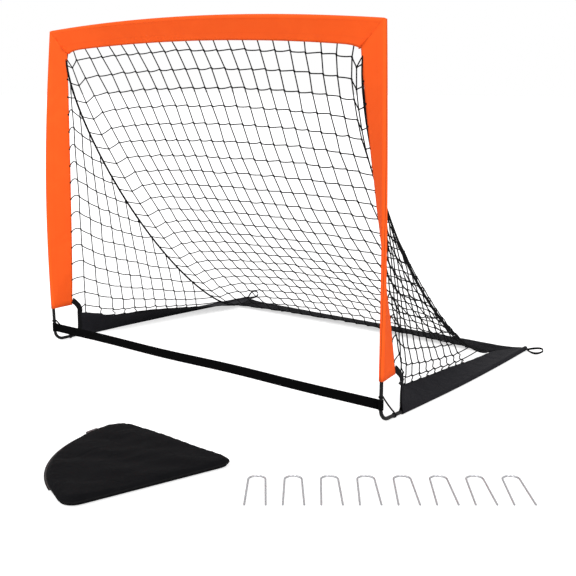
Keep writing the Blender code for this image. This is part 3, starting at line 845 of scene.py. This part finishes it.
def sleeve_profile(width, taut=1.2, turn=82):
    """Mid line of the folded cloth: along the band, across it, and metres from its first edge.

    Both layers run from the rod in the fold to the hem, where they meet. Slack cloth, with a higher
    value of taut, closes soon behind the rod.
    """
    near = pocket_radius * cos(radians(turn))
    high = pocket_radius * sin(radians(turn))
    outline = [(near + (width - near) * share, layer_gap + (high - layer_gap) * (1 - share) ** taut)
               for share in spread(1.0, 0.0, layer_steps)[:-1]]
    outline += [(pocket_radius * cos(radians(a)), pocket_radius * sin(radians(a)))
                for a in spread(turn, 360 - turn, 14)]
    outline += [(along, -offset) for along, offset in reversed(outline[:layer_steps])]
    metres = [0.0]
    for (a, b), (c, d) in pairwise(outline):
        metres.append(metres[-1] + hypot(c - a, d - b))
    return outline, metres


def ripple(point, seed):
    """A small even waviness of cloth at a point."""
    wide = sin(point.z * 31 + seed) * sin(point.x * 23 + point.y * 27 + seed * 1.7)
    return ripple_depth * (wide + 0.5 * sin(point.z * 67 + point.x * 53 + seed * 2.3))


def wrinkle(point, seed):
    """Handling folds of the ground cloth, in metres."""
    wide = sin(point.x * 19 + seed) * sin(point.y * 17 + seed * 2.1)
    fine = sin(point.x * 61 + point.y * 43 + seed) * sin(point.y * 71 - point.x * 37 + seed)
    return 0.0018 * wide + 0.0009 * fine


def stations_along(path, band, shares):
    """Place, direction and band at shares of a path, and the metres along it."""
    stations = [(path(t), tangent(path, t), band(t)) for t in shares]
    return stations, running([place for place, _, _ in stations])


def cloth_row(station, outline, wave, seed, free=1.0):
    """A row of points round the rod at a station. The cloth waves where it is loose."""
    place, along, band = station
    side = along.cross(band).normalized()
    row = []
    for reach, offset in outline:
        point = place + band * reach + side * offset
        loose = clamp((reach - loose_from) / loose_reach) * free
        row.append(point + side * (wave(point, seed) * loose))
    return row


def close_end(rows, k, corner, out):
    """Cuts cloth that runs out to a corner: on the mitre's plane, and round at the outer corner."""
    place, rising, outward_bar, normal = corner
    end = place - out * seam
    rows[k] = [p - out * seam - out * past_plane(p - out * seam, end, out, normal) for p in rows[k]]
    plane = rising.cross(outward_bar).normalized()
    hub = place + (rising + outward_bar) * (pocket_radius - corner_rounding)
    result = []
    for row in rows:
        line = []
        for point in row:
            point = point - out * max(past_plane(point, end, out, normal), 0.0)
            away = point - hub
            flat = away - plane * away.dot(plane)
            outside = flat.dot(rising) > 0 and flat.dot(outward_bar) > 0
            if outside and flat.length > corner_rounding:
                point = point - flat + flat.normalized() * corner_rounding
            line.append(point)
        result.append(line)
    return result


def finish_doubled(piece, where, node):
    """Thickness and body of cloth sewn double round rods."""
    thicken(piece, cloth)
    settle(piece, where, node)


def make_post_sleeves():
    corner = corner_frame()
    outline, metres = sleeve_profile(sleeve_width)
    shares = stepped(post_at(sleeve_foot), (0.98, 47), (1, 12))
    stations, lengths = stations_along(post_point, post_band, shares)
    for side, sign in SIDES:
        rows = [cloth_row(station, outline, ripple, 1.3 * sign) for station in stations]
        rows = close_end(rows, -1, corner, corner[1])
        rows = [[mirrored(p, sign) for p in row] for row in rows]
        piece = grid_piece("post_sleeve_cloth_" + side, rows, lengths, metres, sleeve_cloth, flip=sign < 0)
        finish_doubled(piece, "front_frame", "post_sleeve_" + side)


def make_crossbar_sleeve():
    corner = corner_frame()
    outline, metres = sleeve_profile(crossbar_width)
    shares = stepped(1, (0.97, 12), (0.88, 6), (-0.88, 60), (-0.97, 6), (-1, 12))
    stations, lengths = stations_along(crossbar_point, crossbar_band, shares)
    rows = [cloth_row(station, outline, ripple, 0.4) for station in stations]
    inner = half_width - top_inset - sleeve_width
    for row, (_, _, band) in zip(rows, stations):
        flare = corner_flare * exp(-max(inner - abs(row[0].x), 0.0) / corner_flare_length)
        for k, (reach, _) in enumerate(outline):
            row[k] = row[k] + band * (flare * max(reach / crossbar_width, 0.0) ** 2)
    rows = close_end(rows, 0, corner, corner[2])
    corner = [vector * Vector((-1, 1, 1)) for vector in corner]
    rows = close_end(rows, -1, corner, corner[2])
    piece = grid_piece("crossbar_sleeve_cloth", rows, lengths, metres, crossbar_cloth)
    finish_doubled(piece, "front_frame", "crossbar_sleeve")


# Skirts


def make_side_skirts():
    start = base_at(skirt_front)
    shares = [start + (1 - start) * share ** 1.4 for share in spread(0, 1, 60)]
    metres = sleeve_profile(skirt_width, *skirt_slack)[1]
    for side, sign in SIDES:
        stations, lengths = stations_along(base_point, lambda t: skirt_band(t, side), shares)
        rows = []
        for t, station in zip(shares, stations):
            outline = sleeve_profile(skirt_reach(t), *skirt_slack)[0]
            row = cloth_row(station, outline, wrinkle, 2.0 * sign, min((1 - t) * end_hold, 1.0))
            rows.append([Vector((p.x * sign, p.y, max(p.z, skirt_clear))) for p in row])
        piece = grid_piece("side_skirt_cloth_" + side, rows, lengths, metres, skirt_cloth, flip=sign < 0)
        finish_doubled(piece, corner_fold, "side_skirt_" + side)


def make_rear_skirt():
    """Cloth from the ground up to the side skirts' corners, slack towards its hem."""
    rows = []
    for u in spread(-1, 1, 90):
        low, high = rear_edges(u)
        row = []
        for share in spread(0, 1, 12):
            point = low.lerp(high, share)
            loose = min((1 - abs(u)) * end_hold, 1.0) * sin(pi * (0.15 + 0.85 * share) * 0.55)
            point.z += (wrinkle(point, 5.0) * rear_wrinkle + skirt_clear) * loose
            point.z = max(point.z, rear_skirt_clear)
            row.append(point)
        rows.append(row)
    lengths = running([row[6] for row in rows])
    middle = rows[len(rows) // 2]
    width = (middle[-1] - middle[0]).length
    piece = grid_piece("rear_skirt_cloth", rows, lengths, spread(0, width, 12), rear_skirt_cloth)
    thicken(piece, rear_skirt_cloth_depth)
    settle(piece, "base_frame", "rear_skirt")


# Webbing, tapes and tubes


def make_front_strap():
    """Webbing across the mouth, turned round each corner tube and sewn to itself."""
    centre = post_point(post_at(strap_height))
    wrap = tube_radius + strap_depth
    turn = asin(strap_split / wrap)
    right = [(centre.x + wrap * cos(a), centre.y + wrap * sin(a))
             for a in spread(-pi + turn, pi - turn, 20)]
    left = [(-x, 2 * centre.y - y) for x, y in right]
    front = [(x, centre.y + strap_split) for x in spread(right[-1][0], left[0][0], 40)[1:-1]]
    back = [(x, centre.y - strap_split) for x in spread(left[-1][0], right[0][0], 40)[1:]]
    points = [Vector((x, y, strap_height)) for x, y in right + front + left + back]
    for point in points:
        slack = max(0.0, 1 - abs(point.x / (half_width - strap_held)) ** 2)
        point.z += strap_wave * sin(point.x * 11) * slack
    piece = ribbon_piece("front_strap_webbing", points, [UP] * len(points), strap_width, strap_depth, webbing)
    settle(piece, corner_fold, "front_strap")


def make_binding_tapes():
    """Tapes from the sleeves' feet to the skirts, and on down the skirts' front edges."""
    for side, sign in SIDES:
        shares = spread(0, 1, 16)
        points = [tape_path(s, side) for s in shares]
        bands = [tape_band(s, side) for s in shares]
        last_point, last_band = points[-1], bands[-1]
        place = base_point(base_at(skirt_front))
        edge = skirt_tip(base_at(skirt_front), side)
        for share in spread(0, 1, 10)[1:]:
            down = edge.lerp(place, tape_run * share) + Vector(tape_run_shift)
            turned = min(share / tape_run_ease, 1.0)
            points.append(last_point.lerp(down, turned))
            bands.append(last_band.lerp(BACK, turned).normalized())
        points, bands = [[mirrored(v, sign) for v in vectors] for vectors in (points, bands)]
        piece = ribbon_piece("binding_tape_cloth_" + side, points, bands, tape_width, tape_depth, tape_cloth)
        settle(piece, tape_fold, "binding_tape_" + side)


def make_corner_tubes():
    """Spring steel tube, bent round each bottom corner: a disc drawn along the path."""
    for side, sign in SIDES:
        back = mirrored(base_point(base_at(tube_back)), sign)
        low = mirrored(base_point(0), sign)
        start_wire(tube_radius, 20, goal + back)
        for _ in range(8):
            draw_wire((low - back) / 8)
        hub = goal + Vector((low.x, bend_radius, bend_top))
        bpy.ops.mesh.spin(steps=16, angle=pi / 2, center=hub, axis=(1, 0, 0))
        for start, end in pairwise(spread(bend_top, tube_top, 8)):
            draw_wire(mirrored(post_point(post_at(end)) - post_point(post_at(start)), sign))
        tube = end_wire(tube_steel)
        tube.name = "corner_tube_bend_" + side
        settle(tube, corner_fold, "corner_tube_" + side)


# Cords


def make_corner_cords():
    """A thin cord across each bottom corner, whipped round the tube at both ends."""
    clear = tube_radius + corner_cord_radius
    upper = post_point(post_at(corner_cord_up))
    lower = base_point(base_at(corner_cord_back))
    high = upper + BACK * clear
    low = lower + UP * clear
    for side, sign in SIDES:
        path = [mirrored(high.lerp(low, s) - UP * corner_cord_sag * sin(pi * s), sign)
                for s in spread(0, 1, 12)]
        wraps = []
        for centre, axis in ((upper, UP), (lower, BACK)):
            third = axis.cross(RIGHT)
            for lift in (-tie_spacing, tie_spacing):
                ring = [centre + axis * lift + (RIGHT * cos(a) + third * sin(a)) * (tube_radius + tie_seat)
                        for a in spread(0, 2 * pi, 16)]
                wraps.append(even([mirrored(p, sign) for p in ring], tie_radius))
        ties = tubes_piece("corner_cord_ties_" + side, wraps, cord_twist, 8)
        piece = tubes_piece("corner_cord_line_" + side, [even(path, corner_cord_radius)], cord_twist, 8)
        for part in (ties, piece):
            settle(part, corner_fold, "corner_cord_" + side)


def make_edge_cords():
    for side, sign in SIDES:
        path = [mirrored(edge_cord(t), sign) for t in spread(0, 1, 90)]
        piece = tubes_piece("edge_cord_line_" + side, [even(path, edge_cord_radius)], cord_twist, 10)
        settle(piece, net_fold, "edge_cord_" + side)


# Nets


def points_at(line, marks):
    """Points at given distances along a line of points."""
    found = []
    reach = 0.0
    k = 0
    for mark in marks:
        step = (line[k + 1] - line[k]).length
        while reach + step < mark and k < len(line) - 2:
            reach += step
            k += 1
            step = (line[k + 1] - line[k]).length
        found.append(line[k].lerp(line[k + 1], min((mark - reach) / step, 1.0)))
    return found


def rear_column(i, v):
    """A point of the rear net's column i, at a share v of its chord from the crossbar to the hem."""
    u = i / rear_columns
    drawn = 1 - column_draw + column_draw * exp(-v / draw_depth)
    t = column_pitch * i / (half_width - top_inset)
    top = crossbar_point(t) + crossbar_band(t) * (crossbar_width - rear_top_lap)
    low, high = rear_edges(column_pitch * i * (1 - column_draw) / (mitre_corner().x - mitre_gap))
    bottom = high.lerp(low, rear_foot_share) + UP * rear_foot_lift
    chord = bottom - top
    inward = Vector((0, chord.z, -chord.y)).normalized()
    sag = rear_sag[0] + rear_sag[1] * u ** 8
    fullness, skew = [middle + change * u * u for middle, change in (rear_fullness, rear_skew)]
    point = top + chord * v + inward * hang(v, sag, fullness, skew)
    point.x = column_pitch * i * drawn
    return point


edge_line = [edge_cord(t) for t in spread(0, 1, 400)]
Y, Z = 1, 2


def cord_point(axis, value):
    """The edge cord's point where it first comes to a distance back or down to a height."""
    way = 1 if axis == Y else -1
    for high, low in pairwise(edge_line):
        step = (low[axis] - high[axis]) * way
        if low[axis] * way >= value * way and step > 0:
            return high.lerp(low, clamp((value - high[axis]) * way / step))
    return edge_line[-1]


def strand(a, b, drop, sway=0.0, steps=4):
    """Twine between two knots: it hangs a little, may sway into an S, and kinks at the knots."""
    flat = Vector(((b - a).x, (b - a).y, 0.0))
    aside = flat.normalized() if flat.length > 0.004 else BACK
    points = []
    for w in spread(0, 1, steps):
        point = a.lerp(b, w)
        point.z -= drop * 4 * w * (1 - w)
        points.append(point + aside * (sway * sin(2 * pi * w)))
    return even(points, twine_radius)


def knot_run(point, direction):
    points = [point + direction * (share * knot_reach) for share in (-1, -0.5, 0.5, 1)]
    return points, [twine_radius, knot_radius, knot_radius, twine_radius]


def knot_lays(knots, slant):
    """The way each knot lies: along its column downwards, slanted a little to one side."""
    lays = {}
    for (c, r), place in knots.items():
        down = (knots.get((c, r + 1), place) - knots.get((c, r - 1), place)).normalized()
        lays[c, r] = ((-down if down.z > 0 else down) + slant).normalized()
    return lays


def row_strand(left, right, left_lay, right_lay, drop):
    """Twine along a row: out of the low end of one knot and into the high end of the next."""
    out = knot_reach * knot_exit
    return strand(left + left_lay * out, right - right_lay * out, drop)


def jitter(dice, amount):
    return Vector((dice.uniform(-1, 1), dice.uniform(-1, 1), dice.uniform(-1, 1))) * amount


def rear_knots(dice):
    knots = {}
    for i in range(-rear_columns, rear_columns + 1):
        line = [rear_column(i, v) for v in spread(0, 1, 80)]
        length = running(line)[-1]
        marks = [0.0]
        for j in range(rear_rows):
            share = j / rear_rows
            marks.append(first_row + (length - first_row) * share * (1 + row_stretch * (1 - share)))
        for j, point in enumerate(points_at(line, marks + [length])):
            knots[i, j] = point + (jitter(dice, rear_jitter) if 0 < j <= rear_rows else Vector())
    return knots


def outer_column(knots, sign):
    """The rear net's last column, part of the way to the edge cord, and its ties on the cord."""
    outer = []
    for j in range(1, rear_rows):
        inner = mirrored(knots[sign * rear_columns, j], sign)
        height = inner.z - outer_drop[0] - (outer_drop[1] - outer_drop[0]) * j / rear_rows
        if height < edge_line[-1].z + outer_end:
            break
        tie = cord_point(Z, height + outer_tie_lift)
        middle = inner.lerp(tie, outer_share)
        middle.z = height
        outer.append((knots[sign * rear_columns, j], mirrored(middle, sign), mirrored(tie, sign)))
    return outer


def make_rear_net():
    dice = random.Random(7)
    knots = rear_knots(dice)
    runs = []
    for i, j in product(range(-rear_columns, rear_columns + 1), range(rear_rows + 1)):
        sway = rear_sway * (j / rear_rows) ** 3 * dice.uniform(0.5, 1.2)
        runs.append(strand(knots[i, j], knots[i, j + 1], 0.0, sway))
    lay = knot_lays(knots, RIGHT * knot_slant)
    for j, i in product(range(1, rear_rows + 2), range(-rear_columns, rear_columns)):
        drop = (row_drop if j <= rear_rows else 0.0) + dice.uniform(-row_play, row_play)
        runs.append(row_strand(knots[i, j], knots[i + 1, j], lay[i, j], lay[i + 1, j], drop))
    ties = []
    for sign in (-1, 1):
        above = mirrored(edge_line[3], sign)
        for knot, middle, tie in outer_column(knots, sign):
            runs += [strand(knot, middle, tie_drop), strand(middle, tie, tie_drop), strand(above, middle, 0.0)]
            ties += [middle, tie]
            above = middle
        runs.append(strand(above, mirrored(edge_line[-3], sign), 0.0))
    runs += [knot_run(point, lay[key]) for key, point in knots.items() if key[1] > 0]
    runs += [knot_run(point, RIGHT * knot_slant + UP * tie_lay) for point in ties]
    piece = tubes_piece("rear_net_mesh", runs, twine_twist, 5)
    settle(piece, net_fold, "rear_net")


def hook_line(height):
    """The side net's front edge: the sleeve's edge, and below it the binding tape."""
    if height >= tape_path(0).z:
        return sleeve_edge(height, -side_hook_lap)
    return tape_path(min(spread(0, 1, 60), key=lambda s: abs(tape_path(s).z - height)))


def side_place(back, height, side):
    """The side net's surface: its x at a distance back and a height, eased in from all edges."""
    hook = hook_line(height)
    behind = cord_point(Z, height)
    foot = skirt_tip(base_at(back), side)
    above = cord_point(Y, back)
    level = ease(hook.x, behind.x, (back - hook.y) / max(behind.y - hook.y, 1e-4))
    upright = ease(foot.x, above.x, (height - foot.z) / max(above.z - foot.z, 1e-4))
    from_hook = max(back - hook.y, 0.0)
    from_foot = max(height - foot.z, 0.0)
    x = (level * from_foot + upright * from_hook) / max(from_hook + from_foot, 1e-4)
    return Vector((x, back, height))


def side_column(c, side):
    """Knots of a side net's column from its foot up, and where it meets the edge cord."""
    hooked = c == 1
    foot = skirt_tip(base_at(side_first + side_pitch * (c - 1)), side)
    low = height = side_hook_foot if hooked else foot.z
    lean = side_lean[0] + side_lean[1] * (c - 1)
    knots = {}
    r = 0
    while height < side_hook_top:
        if hooked:
            place = hook_line(height)
        else:
            back = foot.y - lean * (height - low)
            if back > cord_point(Z, height).y - side_cord_gap:
                break
            place = side_place(back, height, side)
        if not hooked or height > tape_path(1).z:
            knots[r] = place
        squeeze = side_squeeze[0] + side_squeeze[1] * (c - 1)
        height += side_row * (1 - exp(-(r + side_squeeze_start) / squeeze))
        r += 1
    if hooked:
        return knots, None
    heights = spread(place.z, place.z + 2 * side_row, 60)
    meeting = min(heights, key=lambda z: abs(cord_point(Z, z).y - foot.y + lean * (z - low)))
    return knots, cord_point(Z, meeting)


def net_rings(runs):
    """Strands sorted into rings by their distance from the fold's axis."""
    rings = {}
    for run in runs:
        middle = run[0][len(run[0]) // 2] - fold_offset
        away = max(hypot(middle.y, middle.z), net_ring_start)
        ring = int(log(away / net_ring_start) / log(net_ring_growth))
        rings.setdefault(ring, []).append(run)
    return dict(sorted(rings.items()))


def side_runs(columns, sign):
    """All strands and knots of one side net."""
    dice = random.Random(11 + sign)
    knots = {}
    for c, (column, _) in columns.items():
        for r, point in column.items():
            knots[c, r] = mirrored(point, sign) + jitter(dice, side_jitter if c > 1 and r > 0 else 0.0)
    lay = knot_lays(knots, BACK * knot_slant)
    tied = BACK * knot_slant + UP * tie_lay
    runs = []
    for (c, r), point in knots.items():
        above, behind = knots.get((c, r + 1)), knots.get((c + 1, r))
        if c > 1 and above:
            sway = (side_low_sway if r < 2 else side_sway) * dice.uniform(0.5, 1.2)
            runs.append(strand(point, above, 0.0, sway))
        elif c > 1:
            tie = mirrored(columns[c][1], sign)
            runs += [strand(point, tie, 0.0, side_sway), knot_run(tie, tied)]
        if behind and c == 1:
            arch = side_hook_arch * clamp(max(r - 1, 0) / 5)
            runs.append(strand(point, behind, dice.uniform(-side_row_play, side_row_play) - arch, 0.0, 5))
        elif behind:
            drop = side_row_drop + dice.uniform(-side_row_play, side_row_play)
            runs.append(row_strand(point, behind, lay[c, r], lay[c + 1, r], drop))
        elif r > 0:
            tie = mirrored(cord_point(Z, point.z - side_tie_drop), sign)
            runs += [strand(point, tie, tie_drop), knot_run(tie, tied)]
        runs.append(knot_run(point, lay[c, r]))
    return runs


def make_side_nets():
    hinge = goal + fold_offset
    for side, sign in SIDES:
        columns = {c: side_column(c, side) for c in range(1, side_columns + 1)}
        for ring, strands in net_rings(side_runs(columns, sign)).items():
            piece = tubes_piece(f"side_net_mesh_{side}_{ring + 1}", strands, twine_twist, 5)
            reach = net_ring_start * net_ring_growth ** (ring + 0.5)
            turn = (hinge + Vector((0, reach, 0)), hinge + UP * reach)
            settle(piece, turn, "side_net_" + side)


# Peg loops and pegs


def make_peg_loops():
    """Webbing eyes, each a teardrop standing on its edge with a half twist in its sides."""
    for side, sign in SIDES:
        corner = base_point(1)
        place = Vector((corner.x * sign, corner.y, loop_height / 2 + loop_lift)) + Vector(loop_seat[side])
        strip, rise, tilt = loop_form[side]
        turn = Matrix.Rotation(loop_heading[side], 3, "Z")
        points = []
        bands = []
        for a in spread(loop_gap, 2 * pi - loop_gap, 40):
            reach = loop_length / 2 * (1 - cos(a))
            width = loop_width * loop_fullness * sin(a) * sin(a / 2)
            points.append(place + turn @ Vector((reach, width * cos(tilt), 0))
                          + UP * (rise * reach / loop_length + width * sin(tilt)))
            out = turn @ Vector((-sin(a) * 0.3, cos(a), 0)).normalized()
            bands.append((UP + out * (loop_twist * sin(a))).normalized())
        piece = ribbon_piece("peg_loop_webbing_" + side, points, bands, strip, loop_depth, webbing)
        settle(piece, "peg_loop_" + side, "peg_loop_" + side)


def make_first_peg():
    """Bent from one wire: a circle drawn up one leg, turned round the bend and down the other."""
    half = peg_width / 2
    leg = peg_length - half - peg_wire
    foot = Vector((-half - peg_splay, -leg / 2, peg_wire))
    along = Vector((-half, leg / 2, peg_wire)) - foot
    start_wire(peg_wire, 14, foot, atan2(-along.x, along.y))
    draw_wire(along)
    bpy.ops.mesh.spin(steps=18, angle=pi, center=(0, leg / 2, peg_wire), axis=(0, 0, 1))
    draw_wire(Vector((peg_splay, -along.y, 0)))
    return end_wire(peg_steel)


def make_pegs():
    pattern = make_first_peg()
    along = Vector((cos(row_heading), sin(row_heading), 0))
    for i in range(peg_count):
        peg = pattern
        if i < peg_count - 1:
            peg = pattern.copy()
            peg.data = pattern.data.copy()
            bpy.context.scene.collection.objects.link(peg)
        peg.name = f"peg_wire_{i + 1}"
        place = goal + Vector((*peg_row_start, 0)) + along * (peg_pitch * i)
        peg.data.transform(Matrix.Translation(place) @ Matrix.Rotation(row_heading, 4, "Z"))
        settle(peg, f"peg_{i + 1}", f"peg_{i + 1}")


# Carry bag


def bag_arc(i):
    """Centre, first spoke and sweep of the rounding at one corner of the bag."""
    x, y, radius = bag_corners[i]
    place = Vector((x, y))
    before = (Vector(bag_corners[i - 1][:2]) - place).normalized()
    after = (Vector(bag_corners[(i + 1) % len(bag_corners)][:2]) - place).normalized()
    opening = before.angle(after)
    centre = place + (before + after).normalized() * (radius / sin(opening / 2))
    start = place + before * (radius / tan(opening / 2))
    return centre, start - centre, opening - pi


def in_bag(x, y, z):
    """A point of the bag's own frame, in the goal's."""
    return Matrix.Rotation(row_heading, 3, "Z") @ Vector((x, y, z)) + Vector((*bag_place, 0))


def bag_rim(count):
    """Points evenly round the bag's seam, in its own frame."""
    rim = []
    for i in range(len(bag_corners)):
        centre, spoke, sweep = bag_arc(i)
        rim.extend((centre + Matrix.Rotation(turn, 2) @ spoke).to_3d() for turn in spread(0, sweep, 24))
    rim.append(rim[0])
    size = running(rim)[-1] / count
    return points_at(rim, [size * i for i in range(count)])


def bag_fold(x, y):
    """Slack folds of the bag's upper cloth, in metres."""
    long_fold = sin(31 * x + 17 * y + 2.2 * sin(11 * y)) * sin(13 * x - 23 * y + 1.0)
    short_fold = sin(71 * x - 43 * y + 1.7 * sin(29 * x)) * sin(37 * x + 67 * y)
    return 0.0030 * long_fold + 0.0012 * short_fold


def bag_top(x, y, share, turn):
    """Height of the upper cloth at a share of the way out to the seam and a turn round it."""
    crown = (1 - share ** 5) ** 0.5
    pucker = bag_pucker_depth * sin(bag_puckers * turn) * share ** 8
    return bag_height * (bag_shoulder + (1 - bag_shoulder) * crown) + bag_fold(x, y) * crown + pucker


def make_bag_body(rim):
    """Rings of points, each a smaller copy of the seam: under the bag, round its side and over it."""
    middle = sum(rim, Vector((0, 0, 0))) / bag_steps
    side_rings = [(share, 0.0) for share in (0.08, 0.3, 0.6, 0.85, 0.95)]
    side_rings += [(0.985, 0.12), (1.0, 0.45), (0.995, 0.60), (0.975, bag_shoulder)]
    rings = side_rings + [(1 - 0.92 * share, None) for share in spread(0.045, 1.0, 26)]
    places = [(middle.x, middle.y, bag_clear)]
    for (share, level), (n, point) in product(rings, enumerate(rim)):
        x = middle.x + (point.x - middle.x) * share
        y = middle.y + (point.y - middle.y) * share
        if level is None:
            z = bag_top(x, y, share, 2 * pi * n / bag_steps)
        else:
            z = bag_height * level + bag_clear
        places.append((x, y, z))
    places.append((middle.x, middle.y, bag_height + bag_fold(middle.x, middle.y)))
    turns = [(n, (n + 1) % bag_steps) for n in range(bag_steps)]
    last = 1 + (len(rings) - 1) * bag_steps
    faces = [[0, 1 + after, 1 + n] for n, after in turns]
    faces += ring_faces(1, len(rings), bag_steps)
    faces += [[last + n, last + after, len(places) - 1] for n, after in turns]
    uvs = [[places[v][:2] for v in face] for face in faces]
    piece = add_mesh("carry_bag_cloth", [in_bag(*place) for place in places], faces, uvs, bag_cloth)
    outward(piece)
    return piece


def make_carry_bag():
    rim = bag_rim(bag_steps)
    body = make_bag_body(rim)
    line = [in_bag(p.x, p.y, bag_seam_height) for p in rim + rim[:1]]
    piping = tubes_piece("carry_bag_piping", [even(line, piping_radius)], piping_cloth, 8)
    tip = max(rim, key=lambda p: p.y)
    width, length = tab_size
    fold_at = tip.y + length - tab_fold
    bend = [(fold_at + tab_depth * sin(a), -tab_depth * cos(a)) for a in spread(0, pi, 10)]
    tab_line = [(tip.y - tab_lap, -tab_depth), *bend, (tip.y - tab_lap, tab_depth)]
    points = [in_bag(tip.x + tab_slant * (y - tip.y), y, bag_seam_height + z) for y, z in tab_line]
    sideways = Matrix.Rotation(row_heading, 3, "Z") @ RIGHT
    tab = ribbon_piece("bag_tab_webbing", points, [sideways] * len(points), width, tab_depth, webbing)
    settle(body, "carry_bag", "carry_bag")
    settle(piping, "carry_bag", "carry_bag")
    settle(tab, "carry_bag", "bag_tab")
    make_zip()


def make_zip():
    """Two zip tapes round the bag's curved side, with their teeth."""
    centre, spoke, sweep = bag_arc(3)
    reach = spoke.length + zip_clear + zip_width / 2
    first = atan2(spoke.y, spoke.x)

    def on_zip(out, away, round_it=0.0, lift=0.0):
        at = centre.to_3d() + out * (reach + away) + Vector((-out.y, out.x, 0)) * round_it
        return in_bag(at.x, at.y, bag_seam_height + lift)

    pieces = []
    for k, (inner, outer) in enumerate(zip_tapes):
        outs = [Vector((cos(first + turn), sin(first + turn), 0)) for turn in spread(0, sweep, 60)]
        points = [on_zip(out, (inner + outer) / 2 * zip_width) for out in outs]
        bands = [Matrix.Rotation(row_heading, 3, "Z") @ out for out in outs]
        pieces.append(ribbon_piece(f"bag_zip_tape_{k + 1}", points, bands, (outer - inner) * zip_width,
                                   zip_tape_depth, tape_cloth))
    verts = []
    faces = []
    box = ((0, 1, 3, 2), (4, 6, 7, 5), (0, 4, 5, 1), (2, 3, 7, 6), (0, 2, 6, 4), (1, 5, 7, 3))
    count = int(abs(sweep) * reach / tooth_pitch)
    for k in range(count):
        turn = first + sweep * (k + 0.5) / count
        out = Vector((cos(turn), sin(turn), 0))
        shift = tooth_shift if k % 2 else -tooth_shift
        for a, b, c in product((-1, 1), repeat=3):
            verts.append(on_zip(out, b * tooth_half[1] + shift, a * tooth_half[0], c * tooth_half[2]))
        faces += [[8 * k + v for v in face] for face in box]
    uvs = [[(0.0, 0.0)] * 4] * len(faces)
    teeth = add_mesh("bag_zip_teeth", verts, faces, uvs, tooth_plastic, smooth=False)
    outward(teeth)
    for piece in pieces + [teeth]:
        settle(piece, "carry_bag", "bag_zip")


# Camera, light and floor


def place_camera():
    data = bpy.data.cameras.new("photo_camera")
    data.sensor_width = 36
    data.lens = camera_lens
    data.clip_end = 60
    camera = new_object("photo_camera", data)
    camera.location = goal + Vector(camera_place)
    camera.rotation_euler = (pi / 2 - camera_pitch, 0, row_heading)
    bpy.context.scene.camera = camera


def add_sun(name, place, power, softness):
    """A broad, soft studio light that shines from a place towards the goal's middle."""
    data = bpy.data.lights.new(name, "SUN")
    data.energy = power
    data.angle = radians(softness)
    lamp = new_object(name, data)
    lamp.location = goal + Vector(place)
    lamp.rotation_euler = (-Vector(place)).to_track_quat("-Z", "Y").to_euler()


def light_studio():
    add_sun("key_light", (0.4, -3.0, 2.8), 1.45, 25)
    add_sun("right_light", (3.0, -1.0, 1.6), 1.35, 35)
    add_sun("left_light", (-2.4, -2.2, 2.0), 0.3, 40)
    world = bpy.data.worlds.new("studio_white")
    world.use_nodes = True
    tree = world.node_tree
    sky = tree.nodes["Background"]
    sky.inputs["Color"].default_value = (1.0, 1.0, 1.0, 1.0)
    seen = calc("MAXIMUM", add_node(tree, "LightPath", "Is Camera Ray"),
                add_node(tree, "LightPath", "Is Glossy Ray"))
    feed(sky.inputs["Strength"], calc("MULTIPLY_ADD", seen, 1.0 - world_level, world_level))
    bpy.context.scene.world = world
    bpy.context.scene.view_settings.view_transform = "Standard"


def lay_floor():
    bpy.ops.object.select_all(action="DESELECT")
    bpy.ops.mesh.primitive_plane_add(size=60, location=(0, 0, -0.0005))
    floor = bpy.context.object
    floor.name = "studio_floor"
    material, tree, shader = new_material("pale_floor", 0.9, 0.0)
    shader.inputs["Base Color"].default_value = (0.72, 0.72, 0.72, 1.0)
    shader.inputs["Emission Color"].default_value = (1.0, 1.0, 1.0, 1.0)
    lift = calc("MULTIPLY", add_node(tree, "LightPath", "Is Camera Ray"), floor_lift)
    feed(shader.inputs["Emission Strength"], lift)
    floor.data.materials.append(material)
    floor.select_set(False)


place_camera()
light_studio()
lay_floor()
make_edge_cords()
make_corner_cords()
make_corner_tubes()
make_rear_net()
make_side_nets()
make_post_sleeves()
make_crossbar_sleeve()
make_side_skirts()
make_rear_skirt()
make_front_strap()
make_binding_tapes()
make_peg_loops()
make_pegs()
make_carry_bag()

dress(rod_fibre, "post_rod_left", "post_rod_right", "crossbar_rod_left", "crossbar_rod_right",
      "base_rod_left", "base_rod_right")
dress(tip_plastic, "rod_tip_left", "rod_tip_right")
dress(tube_steel, "top_corner_elbow_left", "top_corner_elbow_right")
dress(ferrule_steel, "crossbar_ferrule")
dress(slider_metal, "zip_slider")
